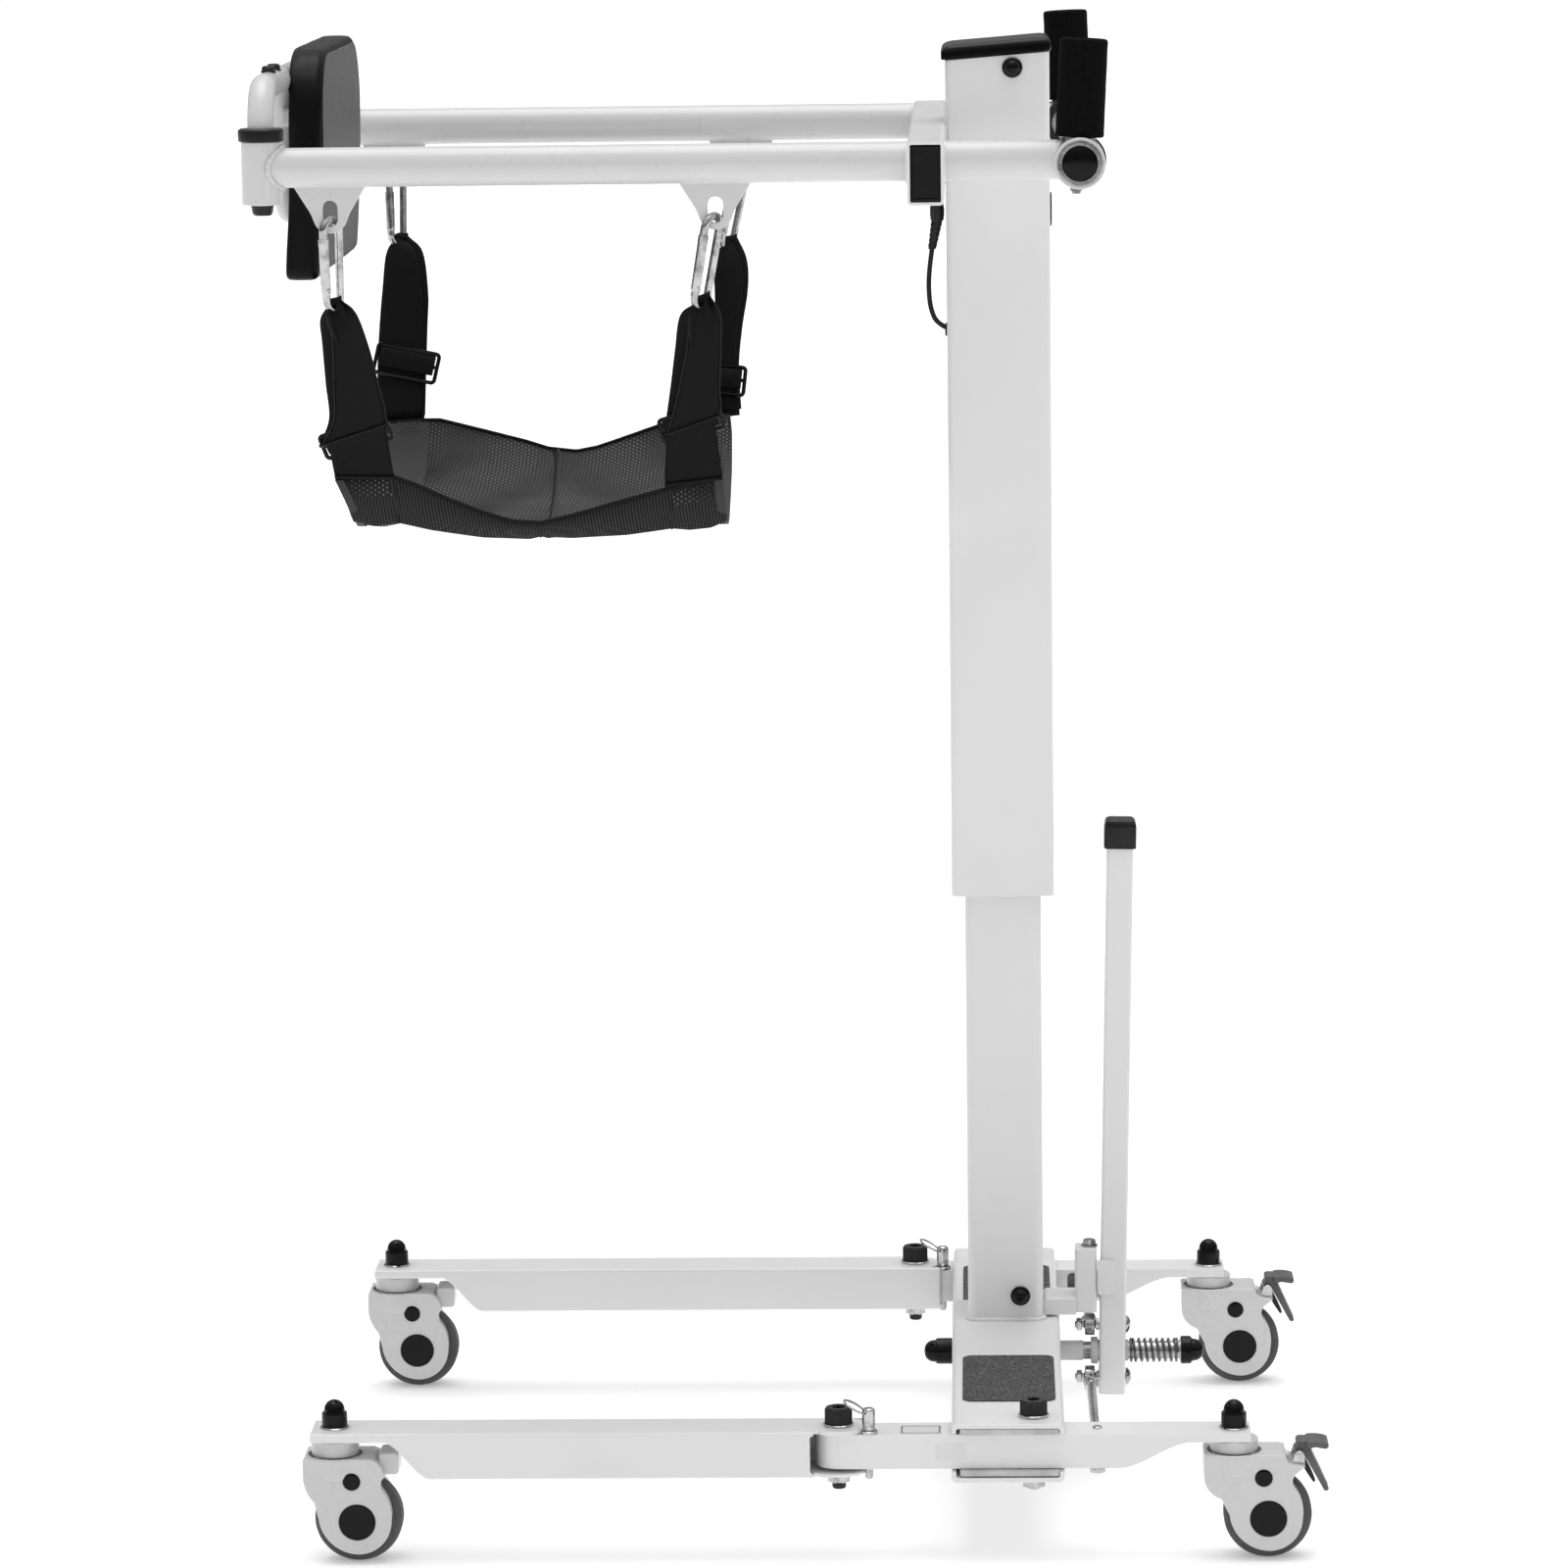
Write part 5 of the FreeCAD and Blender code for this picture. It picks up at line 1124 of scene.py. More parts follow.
def brake(side, y, hub):
    """Two-ended pedal: the upper end locks the wheel and the lower end frees it."""
    arm = arc_outline((24, 53), (24, 61), ((24.8, 63.6), (27, 64.5)), (35, 64.5), (35, 57.5), (30, 53))
    upper = arc_outline((32.5, 58), (32.5, 64.5), ((42, 64.9), (49, 63.6)), ((51.4, 61.5), (48, 58.2)),
                        (40, 59.5))
    lower = arc_outline((29, 55), (33, 58), (36, 57), (51.2, 23.5), ((51.4, 21.6), (49.6, 20.6)),
                        (48, 20.5), (32, 50))
    shoe = arc_outline((25, 50), (30, 51), (36.5, 38), (40.6, 28.5), (38.6, 27.5), (33, 36))
    parts = []
    for shape, half, look, width in ((arm, 11, PEDAL, 1.2), (upper, 15, PEDAL, 1.6),
                                     (lower, 11, PEDAL, 1.2), (shoe, 8, BLACK, 0.8)):
        piece = prism("pedal", shifted(shape, hub, HUB_Z), y - half, y + half, "y")
        parts.append(paint(soften(piece, width, 3, 35), look))
    for k in range(4):
        rib = block("rib", (hub + 36 + k * 3.2, hub + 37.3 + k * 3.2), (y - 12, y + 12),
                    (HUB_Z + 63.4, HUB_Z + 65.1 - 0.1 * k), 0)
        parts.append(paint(soften(rib, 0.4, 2), PEDAL))
    parts.append(paint(cylinder("barrel", y - 12, y + 12, 4.4, "y", (hub + 26.5, HUB_Z + 52.5), 40), BLACK))
    dress(join(f"rear_{side}_brake_visual", *parts), f"rear_{side}_brake",
          [f"rear_{side}_brake"])


# ---------------------------------------------------------------- leg spreading lever

def lever_shaft():
    """Cross shaft with its spacer, end caps and the spring that holds the lever forward."""
    at = (0, SHAFT_Z)
    shaft = lathe("shaft", [(114, 0), (114, 8), (333.2, 7.9), (333.3, 9.6), (334, 10), (338.4, 10),
                            (339, 9.5), (339, 7), (344.9, 7), (344.9, 0)], "x", at, 56)
    spacer = lathe("spacer", [(226.1, 8.05), (226.1, 9), (246.4, 9), (247, 8.6), (247.2, 8.05)], "x", at,
                   56, closed=True)
    dress(join("lever_shaft_visual", paint(shaft, STEEL), paint(spacer, NECK)), "base",
          ["lever_shaft"])
    front_cap = lathe("front", [(129.9, 0), (129.9, 11.4), (129, 11.7), (117, 11.6), (115.4, 11.2),
                                (114.8, 10), (112.6, 9.8), (109.6, 9.0), (106.8, 7.0), (105.2, 4.2),
                                (104.6, 0)], "x",
                      at, 56)
    rear_cap = lathe("rear", [(334.2, 0), (334.2, 12), (335, 12.5), (342.6, 12.5), (343.8, 11.8),
                              (344.2, 10.4), (346, 10), (349.6, 9.2), (352.6, 7.2), (354.4, 4.2),
                              (355, 0)], "x", at, 56)
    dress(join("lever_shaft_caps", paint(front_cap, GLOSS), paint(rear_cap, GLOSS)), "base",
          ["shaft_caps"])

    # compression spring with closed ends, between the lever's bush and the rear cap
    coil, turns, start, end, wire = [], 9.5, 289.3, 332.6 - 1.2, 1.15
    for k in range(int(turns * 28) + 1):
        u = k / (turns * 28)
        closed_ends = min(1.0, max(0.0, (u * turns - 1) / (turns - 2)))
        first, last = min(1, u * turns), max(0, u * turns - turns + 1)
        x = start + 1.1 * first + (end - start - 2.4) * closed_ends + 1.1 * last
        a = 2 * pi * turns * u
        coil.append((x, 9.9 * cos(a), SHAFT_Z + 9.9 * sin(a)))
    spring = bar("lever_spring_visual", coil, wire, 12)
    dress(paint(spring, WIRE), "base", ["lever_spring"])
    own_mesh(spring)


def lever_gate():
    """Bracket on the column's foot that catches the lever, with its screw."""
    gate_arm = prism("arm", [(211.6, 141.5), (241, 141.5), (241, 157), (214, 157), (211.6, 154)], -21, 21,
                     "y")
    soften(gate_arm, 1.5, 3)
    post = block("post", (240, 259.4), (-13, 13), (141.5, 200), 3)
    soften(post, 1.4, 3, 50)
    screw = lathe("screw", [(199.9, 0), (199.9, 7.4), (200.8, 7.6), (201.4, 7.2), (201.5, 5.2),
                            (202, 5.6, "hex"), (205.2, 5.6, "hex"), (206, 5.1),
                            (206, 0)], "z", (253, 0), 48)
    parts = [paint(gate_arm, WHITE), paint(post, WHITE), paint(screw, CHROME)]
    dress(join("lever_gate_visual", *parts), "base", ["lever_gate"])


def lever_tube():
    """Square tube, its foot block, the catch tab, the plastic cap and the bolts that hold the rod balls."""
    lean = 1.1
    pivot = (LEVER_X, 0, SHAFT_Z)
    tube = pipe_prism("lever", rectangle((LEVER_X - 11.75, LEVER_X + 11.75), (-11.75, 11.75), 3.2, 5),
                      rectangle((LEVER_X - 9.75, LEVER_X + 9.75), (-9.75, 9.75), 1.8, 5), 66, 564)
    turn(soften(tube, 0.4, 2, 60), (0, lean, 0), pivot)
    holes = [cylinder("hole", 240, 300, r, "x", (0, z), 40)
             for z, r in ((SHAFT_Z, 9.8), (80, 3.1), (128, 3.1))]
    carve(tube, *holes)
    foot = block("foot", (LEVER_X - 9.6, LEVER_X + 9.6), (-9.6, 9.6), (66.5, 90))
    turn(foot, (0, lean, 0), pivot)
    carve(foot, *[cylinder("hole", 240, 300, 3.1, "x", (0, 80), 24)])
    tab = block("tab", (260.2, 277), (-14.6, -11.2), (158, 190), 2.5, "y")
    soften(tab, 0.5, 2)
    dress(join("lever_tube_visual", paint(tube, WHITE), paint(foot, WHITE), paint(tab, WHITE)), "lever",
          ["lever_tube"])
    levels = [(562, 0.6, 3), (562.6, 0, 3.4), (581, 0, 3.4), (584.4, 0.6, 3.4), (586.6, 1.9, 3.4),
              (587.7, 3.8, 3), (588, 7, 2)]
    cap = drawn_in("lever_cap_visual", (LEVER_X - 14.25, LEVER_X + 14.25), (-14.25, 14.25), levels, 6)
    turn(cap, (0, lean, 0), pivot)
    dress(paint(cap, BLACK), "lever", ["lever_cap"])

    bolts = []
    for z in (80, 128):
        bolts += [lathe("shank", [(239.6, 0), (239.6, 2.4), (240.2, 2.9), (286, 2.9), (286, 0)], "x",
                        (0, z), 24), hex_nut("nut", 241, 246, 5.2, (0, z), "x"),
                  lathe("spacer", [(258.6, 3), (258.6, 5.2), (261.2, 5.2), (261.2, 3)], "x", (0, z), 32,
                        closed=True),
                  lathe("head", [(285.0, 0), (285.0, 7.4), (285.6, 7.9), (286.4, 7.7), (288.2, 6.2),
                                 (289.3, 3.6), (289.6, 2.6), (288.6, 2.2, "hex"), (287.4, 2.2, "hex"),
                                 (287.2, 0)], "x",
                        (0, z), 48)]
    dress(join("rod_bolts_visual", *painted(CHROME, *bolts)), "lever", ["rod_bolts"])


def tie_rod(side, s):
    """Rod with a ball eye at the lever and a flat eye round the leg's stud."""
    start = Vector((253, 0, SHAFT_Z + s * 24))
    end = Vector((STUD_X, s * LEG_Y, 96.5))
    along = (end - start).normalized()
    eye = lathe("eye", [(248.5, 6.0), (248.5, 9.0), (249.4, 9.9), (256.6, 9.9), (257.5, 9.0), (257.5, 6.0),
                        (254.5, 6.9), (251.5, 6.9)], "x", (0, start.z), 56, closed=True)
    flat = lathe("flat_eye", [(92.6, 5.7), (92.6, 8.7), (93.4, 9.5), (99.6, 9.5), (100.4, 8.7),
                              (100.4, 5.7)], "z", (STUD_X, end.y), 48, closed=True)
    stations = [(8.6, 4.6), (10.5, 5.6), (26, 5.6), (27, 4.5)]
    path = [start + along * d for d, _ in stations] + [end - along * 8.8]
    rod = bar("rod", path, [r for _, r in stations] + [4.5], 28)
    collar_path = [start + along * d for d in (27, 27.6, 33.4, 34)]
    collar = bar("collar", collar_path, [6.2, 7.2, 7.2, 6.2], 6)
    nut_path = [end - along * d for d in (47, 46.4, 40.6, 40)]
    nut = bar("lock_nut", nut_path, [5.6, 6.6, 6.6, 5.6], 6)
    parts = painted(CHROME, eye, flat, rod, collar, nut)
    dress(join(f"tie_rod_{side}_visual", *parts), f"tie_rod_{side}", [f"tie_rod_{side}"])


def lever():
    """Everything that spreads the legs, in working order from the shaft to the rods."""
    lever_shaft()
    lever_gate()
    finish_node("lever_bush", NYLON)
    for side, s in SIDES:
        finish_node("rod_ball_" + side, CHROME)
    lever_tube()
    for side, s in SIDES:
        tie_rod(side, s)


# ---------------------------------------------------------------- back pad gate

def pad_gate():
    """Arch that swings on the left sleeve, the loop and tabs that carry the pad, plugs and nuts."""
    x, top, low, bottom = SLEEVE_X, ARCH_Z, LOOP_Z, ARM_Z - 30.5
    arch = rounded([(x, -LEG_Y, bottom), (x, -LEG_Y, top), (x, LEG_Y, top), (x, LEG_Y, bottom)], 34, 18,
                   False)
    frame_tube = bar("arch", arch, 11, 40)
    loop = rounded([(x, -LOOP_Y, top - 6), (x, -LOOP_Y, low), (x, LOOP_Y, low), (x, LOOP_Y, top - 6)], 30,
                   14, False)
    lower = bar("loop", loop, 9.6, 32)
    tabs = []
    for s in (-1, 1):
        for z in (top - 40, low + 24):
            tab = block("tab", (x + 1, x + 8.8), (s * LOOP_Y - 18, s * LOOP_Y + 18), (z, z + 16), 4, "x")
            tabs.append(soften(tab, 0.8, 2))
        tabs.append(lathe("loop_weld", [(-12.6, 9.2), (-12.2, 11.2), (-9, 11.4), (-7, 9.2)], "z",
                          (x, s * LOOP_Y), 32, closed=True, base=top))
    dress(join("gate_frame_visual", *painted(SHADED_WHITE, frame_tube, lower, *tabs)), "pad_gate",
          ["gate_frame"])
    fittings = []
    for s in (-1, 1):
        plug = lathe("plug", [(-8.6, 0), (-8.6, 6.4), (-7.9, 7.6), (-6, 8.6), (-1, 9.4), (0, 10.2),
                              (0.4, 0)], "z", (x, s * LEG_Y), base=bottom)
        fittings.append(paint(plug, BLACK))
        for y in (227, 187):
            nut = lathe("nut", [(10.2, 0), (10.2, 6.4), (11.6, 6.4), (11.8, 5.2, "hex"), (14.6, 5.2, "hex"),
                                (15.6, 4.6), (16, 3), (16.2, 0)], "z", (x, s * y), 36, base=top)
            fittings.append(paint(nut, BOLT))
    dress(join("gate_fittings_visual", *fittings), "pad_gate", ["gate_fittings"])
    back_pad()


def pad_ring(x, inset, corner=60, count=14):
    """One outline of the pad, drawn in from its largest size: wide corners above, tight ones below."""
    r, low_r = max(corner - inset, 6), max(11 - inset, 3)
    low, top = PAD_LOW + inset, PAD_TOP - inset
    loop = rounded([(-PAD_HALF + inset, low), (PAD_HALF - inset, low), (PAD_HALF - inset, top),
                    (-PAD_HALF + inset, top)], (low_r, low_r, r, r), count)
    dense = []
    for i, (a, b) in enumerate(zip(loop, loop[1:] + loop[:1])):
        steps = 30 if i % (count + 1) == count else 1
        dense += [a.lerp(b, k / steps) for k in range(steps)]
    # the lower half leans back
    return [(x - 0.0003 * max(0, 1225 - p.y) ** 2, p.x, p.y) for p in dense]


def back_pad():
    """Upholstered pad: a flat face of grained cloth, round vinyl sides, piping between, a board behind."""
    def skin(name, levels, look):
        obj = loft(name, [pad_ring(x, inset) for x, inset in levels])
        for v in obj.data.vertices:
            y, z = v.co.y / MM, v.co.z / MM
            wave = 0.35 * sin(y * 0.071 + 0.6) * sin(z * 0.083) + 0.2 * sin(y * 0.17 + z * 0.11)
            v.co.x += wave * MM * 0.7
        return paint(obj, look)

    crown = [(-392.9 + 1.1 * (k / 6) ** 0.5, 6.6 + k * 12) for k in range(0, 7)]
    face = skin("face", [(-394.6, 6.2)] + crown, PAD_FACE)
    back = [(-418.6, 30), (-418.6, 9.5), (-420.2, 8.6), (-421.6, 6.4), (-421.8, 4), (-420.8, 1.8),
            (-418.6, 0.5), (-412, 0), (-404, 0), (-400, 0.2)]
    bevel = [(-400 + 6.6 * sin(t), 0.2 + 6.2 * (1 - cos(t))) for t in np.radians(np.arange(15, 91, 15))]
    sides = skin("sides", back + bevel + [(-394.6, 6.8)], PAD_SIDE)
    piping = bar("piping", pad_ring(-393.4, 6.3), 0.7, 8, closed=True)
    pad = join("back_pad_visual", face, sides, paint(piping, PAD_SIDE))
    dress(pad, "pad_gate", ["back_pad"], smooth=60)

    def board_ring(x, inset):
        loop = rounded([(-162 + inset, 1093 + inset), (162 - inset, 1093 + inset),
                        (162 - inset, 1255 - inset), (-162 + inset, 1255 - inset)], 30 - inset, 8)
        return [(x, p.x, p.y) for p in loop]
    board = loft("board", [board_ring(-417.8, 0), board_ring(-421.4, 0), board_ring(-422, 0.8),
                           board_ring(-422.1, 2)])
    screws = [lathe("screw", [(-422.0, 0), (-422.0, 5), (-423.4, 4.6), (-424.2, 3), (-424.2, 1.6),
                              (-423.6, 1.5), (-423.6, 0)], "x", (y, z), 24)
              for y in (-138, -60, 60, 138) for z in (1104, 1222)]
    board = join("pad_board_visual", paint(board, BOARD), *painted(CHROME, *screws))
    dress(board, "pad_gate", ["pad_board"])


# ---------------------------------------------------------------- sling

SEAT_HALF = 245
NEAR_EDGE = [(-381, 923), (-370, 925), (-337, 926), (-311, 916), (-285, 904), (-259, 893.5), (-233, 885.5),
             (-209, 883.7), (-181, 890), (-153, 898), (-127, 905), (-101, 912), (-79, 917), (-56, 922)]
NEAR_LOW = [(-392, 891), (-381, 889), (-367, 885.5), (-351, 881), (-330, 883.5), (-303, 877.5), (-258, 871),
            (-219, 869), (-210, 871), (-183, 869.5), (-138, 872), (-99, 877), (-84, 875.5), (-66, 877),
            (-53, 882.5)]
FAR_EDGE = [(-390, 919), (-357, 921), (-334, 921), (-295, 911), (-255, 900.5), (-235, 894), (-209, 891),
            (-190, 894.5), (-168.6, 901.5), (-141, 911), (-114, 920), (-88, 923), (-66, 924)]
SEAMS = (-330, -210, -99)
WALL = 0.80             # share of the seat's half width where its floor turns up into a wall
CLOTH_LOW = 856.5       # height of the seat's lowest line


def edge_height(edge, x):
    """Height of an edge line at a place along the lift."""
    return float(np.interp(x, [p[0] for p in edge], [p[1] for p in edge]))


def seat_ends(v):
    """Front and rear ends of the seat: they run in towards the far side."""
    marks = (-1, -0.8, 0, 0.8, 1)
    return (float(np.interp(v, marks, (-380.5, -367, -380, -388, -390))),
            float(np.interp(v, marks, (-56, -53, -60, -67, -69))))


def scallop(x):
    """0 at a seam and 1 between seams: the outer cloth bulges down between its stitched lines."""
    marks = (-392,) + SEAMS + (-52,)
    for a, b in zip(marks, marks[1:]):
        if a <= x <= b:
            return sin(pi * (x - a) / (b - a)) ** 0.5
    return 0.0


def centre_seam(y):
    """The middle seam runs slantwise across the seat."""
    return SEAM_X - 12.9 * y / SEAT_HALF


def fold_wave(x, y):
    """Folds that fan out slantwise from the middle seam towards the corners."""
    side = 1 if x > centre_seam(y) else -1
    reach = abs(x - centre_seam(y)) / 160
    fan = 4.6 * sin(7.5 * reach - side * 0.4 + y * 0.021) + 2.4 * sin(4.1 * reach + 2 - y * 0.034)
    return fan * min(1, reach * 2.6) * (1 - (y / SEAT_HALF) ** 4)


def seat_point(u, v):
    """A point of the seat's inner skin: u runs back from the front, v from the near edge to the far one."""
    front, rear = seat_ends(v)
    x = front + (rear - front) * u
    floor = 865 + 8 * ((x + 215) / 165) ** 2
    top = edge_height(NEAR_EDGE if v < 0 else FAR_EDGE, x)
    base = edge_height(NEAR_LOW, x) + 5.5
    wall = abs(v)
    t = max(0.0, (wall - WALL) / (1 - WALL))
    if t > 0:
        y = SEAT_HALF * (0.955 + 0.045 * sin(t * pi / 2)) - 1.8 * sin(pi * t)
    else:
        y = SEAT_HALF * 0.955 * wall / WALL
    share = y / SEAT_HALF
    if v < 0:
        # the near half rises gently to the foot of its wall
        z = base + (top - base) * t if t > 0 else floor + (base - floor) * (wall / WALL) ** 1.6
    else:
        z = floor + (top - floor) * (0.50 * share ** 2.1 + 0.50 * share ** 11)
    y = copysign(y, v)
    seam = exp(-((x - centre_seam(y)) / 3.2) ** 2)
    z += fold_wave(x, y) * (1 - share ** 8) - 2.6 * seam * (1 - share ** 10)
    return x, y, z


def seat_outer(u, v):
    """The outer cloth hangs below the inner one, fullest between its seams."""
    x, y, z = seat_point(u, v)
    wall = abs(v)
    belly = scallop(x)
    if wall > WALL:
        t = (wall - WALL) / (1 - WALL)
        out = 1.2 + 4.4 * sin(pi * t) * (0.5 + 0.5 * belly)
        return x, y + copysign(out, v), z - 5.5 * (1 - t) ** 1.3 - 0.6 * t
    out = (wall / WALL) ** 6
    return x, y + copysign(1.2, v) * out, z - 2.8 - 2.7 * out


def seat_share(x, v):
    """Where x falls between the seat's two ends, from 0 to 1."""
    front, rear = seat_ends(v)
    return min(1, max(0, (x - front) / (rear - front)))


def seat():
    """The sling's seat in two layers, with its seams, bindings, piping and stitches."""
    nu, walls, floor_steps = 132, 12, 66
    vs = [*np.linspace(-1, -WALL, walls, endpoint=False), *np.linspace(-WALL, WALL, floor_steps),
          *np.linspace(WALL, 1, walls + 1)[1:]]
    us = np.linspace(0, 1, nu)
    grids = [[[fn(u, v) for v in vs] for u in us] for fn in (seat_point, seat_outer)]
    nv = len(vs)
    points = [p for grid in grids for row in grid for p in row]
    # the cloth never hangs lower than the seat's lowest line
    points = [(x, y, max(z, CLOTH_LOW)) for x, y, z in points]
    half = nu * nv
    faces = []
    for i in range(nu - 1):
        for j in range(nv - 1):
            a = i * nv + j
            faces.append([a, a + 1, a + nv + 1, a + nv])
            faces.append([half + a, half + a + nv, half + a + nv + 1, half + a + 1])
    for i in range(nu - 1):
        for j in (0, nv - 1):
            a = i * nv + j
            faces.append([a, a + nv, half + a + nv, half + a])
    for j in range(nv - 1):
        for i in (0, nu - 1):
            a = i * nv + j
            faces.append([a, a + 1, half + a + 1, half + a])
    cloth = mesh_object("sling_seat_visual", points, faces)
    for look in (MESH, RIBBED, PATCH, STRAP):
        cloth.data.materials.append(look)
    for face in cloth.data.polygons:
        c = face.center / MM
        inner = face.index < 2 * (nu - 1) * (nv - 1) and max(face.vertices) < half
        if inner:
            smooth_part = c.x < -344 + 20 * (SEAT_HALF - c.y) / (2 * SEAT_HALF)
            face.material_index = 2 if smooth_part or abs(c.x - centre_seam(c.y)) < 2.4 else 0
        else:
            corner = -376 < c.x < -335 or -96 < c.x < -64
            band = edge_height(NEAR_EDGE, c.x) - 17 < c.z < edge_height(NEAR_EDGE, c.x) - 3
            face.material_index = 0 if corner and band and abs(c.y) > 236 else 1
    cloth.data.polygons.foreach_set("use_smooth", [True] * len(cloth.data.polygons))

    trims = []
    for way in (-1, 1):
        rim = [seat_point(u, way) for u in np.linspace(0, 1, 110)]
        trims.append(paint(bar("rim", [(x, y + way * 0.7, z + 0.2) for x, y, z in rim], 1.9, 10), PIPING))
    middle = [seat_point(seat_share(centre_seam(v * SEAT_HALF), v), v)
              for v in np.linspace(-0.99, 0.99, 90)]
    trims.append(paint(bar("middle", [(x + 2.6, y, z + 1.4) for x, y, z in middle], 1.3, 8), PATCH))
    trims.append(paint(bar("middle", [(x - 1.6, y, z + 0.8) for x, y, z in middle], 0.9, 8), PIPING))
    for seam_x in SEAMS:
        for way in (-1, 1):
            line = [seat_outer(seat_share(seam_x, way * w), way * w) for w in np.linspace(0.995, 0.79, 24)]
            trims.append(paint(bar("seam", [(x, y + way * 0.3, max(z, CLOTH_LOW + 1)) for x, y, z in line],
                                   0.9, 8), THREAD))
    for u in (0.0, 1.0):
        lines = [[a + (b - a) * 0.5 for a, b in zip(seat_point(u, v), seat_outer(u, v))]
                 for v in np.linspace(-0.995, 0.995, 120)]
        trims.append(binding_strip(lines, -1 if u == 0 else 1))
    seat_trim = join("sling_seat_trim", *trims)
    dress(seat_trim, "mast", smooth=60)

    stitching = []
    for way in (-1, 1):
        for x_mid, x_half in ((-362, 11), (-84, 9)):
            stitching += stitched_cross(x_mid, x_half, way)
        stitching += edge_stitches(way)
    stitches = join("sling_stitching", *stitching)
    dress(stitches, "mast")
    dress_soft(cloth, ["sling_seat"])
    return cloth


def dress_soft(obj, nodes):
    """Like dress, for cloth: smooth all over."""
    obj.data.shade_smooth()
    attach(obj, "mast")
    if nodes:
        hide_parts(*nodes)
    return obj


def binding_strip(line, way):
    """Grey tape folded over the seat's raw end."""
    rings = []
    for k, (x, y, z) in enumerate(line):
        inner = Vector((0, 0, 1)) if abs(y) < 238 else Vector((0, -copysign(1, y), 0.15)).normalized()
        p = Vector((x, y, z))
        wobble = 0.25 * sin(k * 1.3)
        section = [(-way * 6.5, 2.2), (way * 0.8, 2.0 + wobble * 0.3), (way * 1.5, 0),
                   (way * 0.8, -3.6 + wobble), (-way * 6.5, -3.9), (-way * 6.5, -3.2), (-way * 6.5, 1.4)]
        rings.append([p + Vector((dx, 0, 0)) + inner * dz for dx, dz in section])
    for ring in rings:
        for point in ring:
            point.z = max(point.z, CLOTH_LOW + 0.1)
    return paint(loft("binding", rings), PATCH)


def surface_at(x, v):
    """A point on the seat's inner skin at x."""
    return Vector(seat_point(seat_share(x, v), v))


def stitch(points, radius=0.35):
    """One pale stitch."""
    return paint(bar("stitch", points, radius, 5), LINE)


def stitched_cross(x_mid, x_half, way):
    """Box and cross of stitches where a strap is sewn to the seat's inner side."""
    items = []
    corners = [(x_mid - x_half, 0.985), (x_mid + x_half, 0.985), (x_mid + x_half, 0.86),
               (x_mid - x_half, 0.86)]
    runs = [*zip(corners, corners[1:] + corners[:1]), (corners[0], corners[2]), (corners[1], corners[3])]
    for (xa, va), (xb, vb) in runs:
        for k in range(6):
            ends = []
            for t in ((k + 0.15) / 6, (k + 0.75) / 6):
                p = surface_at(xa + (xb - xa) * t, way * (va + (vb - va) * t))
                ends.append(p + Vector((0, -way * 0.5, 0.1)))
            items.append(stitch(ends))
    return items


def edge_stitches(way):
    """A row of short stitches just below the piping on the inner side."""
    items = []
    for x in np.arange(-335, -72, 4.4):
        ends = [surface_at(x + d, way * 0.955) + Vector((0, -way * 0.35, 0.1)) for d in (0, 2.4)]
        items.append(stitch(ends, 0.28))
    return items


def ribbon(name, stations, thick, across=12):
    """Webbing through stations of (left edge, right edge, bulge); bulge pushes its middle out."""
    rings = []
    for left, right, bulge in stations:
        a, b = Vector(left), Vector(right)
        face = (b - a).cross(Vector((0, 0, 1)))
        face = face.normalized() if face.length > 1e-6 else Vector((0, 1, 0))
        top_side, low_side = [], []
        for k in range(across + 1):
            t = k / across
            swell = bulge * sin(pi * t)
            mid = a.lerp(b, t) + face * swell
            taper = thick / 2 * (1 - abs(2 * t - 1) ** 12 * 0.7)
            top_side.append(mid + face * taper)
            low_side.append(mid - face * taper)
        rings.append(top_side + low_side[::-1])
    return paint(loft(name, rings), STRAP)


def eased(stations, per_span=6):
    """More stations between the given ones, on a smooth line."""
    flat = smooth_line([tuple(l) + tuple(r) + (b,) for l, r, b in stations], per_span)
    return [(f[0:3], f[3:6], f[6]) for f in flat]


def y_at(z, s, top=1070, low=925):
    """Straps lean out from the seat's corners to the hooks."""
    t = (z - low) / (top - low)
    return s * (SEAT_HALF + 3 + t * 41)


# left and right edges (x, z) of each strap, from its hook down to the seat
STRAPS = {
    ("front", "left"): (
        [(-379, 1073), (-386.5, 1060), (-385.5, 1040), (-383.5, 1005), (-381.5, 971), (-378.5, 930)],
        [(-368, 1077), (-356, 1066), (-347, 1038), (-340, 1004), (-336, 971), (-331, 930)]),
    ("rear", "left"): (
        [(-75, 1071), (-87, 1060), (-91.5, 1030), (-95.5, 998), (-99.5, 966), (-102, 928)],
        [(-62, 1078), (-53.5, 1062), (-53.5, 1038), (-55.5, 1000), (-55, 968), (-53.5, 928)]),
    ("front", "right"): (
        [(-376, 1085), (-383, 1071), (-385.5, 1040), (-387.5, 1010), (-389, 970), (-388, 925)],
        [(-364, 1086), (-351, 1071), (-346, 1034), (-346.5, 1008), (-347.5, 970), (-348.5, 925)]),
    ("rear", "right"): (
        [(-75, 1078), (-81, 1060), (-80, 1030), (-79, 1000), (-80, 966), (-84, 928)],
        [(-61, 1082), (-52.5, 1062), (-51.5, 1036), (-57, 1000), (-60, 966), (-58, 928)]),
}


NEAR_LEAF_END = {"front": ((-390, 953), (-335, 971)), "rear": ((-101, 960), (-59, 975))}


def strap_edges(end, side, s):
    """Left and right edge points of one strap in space."""
    left, right = STRAPS[(end, side)]
    return [((x1, y_at(z1, s), z1), (x2, y_at(z2, s), z2)) for (x1, z1), (x2, z2) in zip(left, right)]


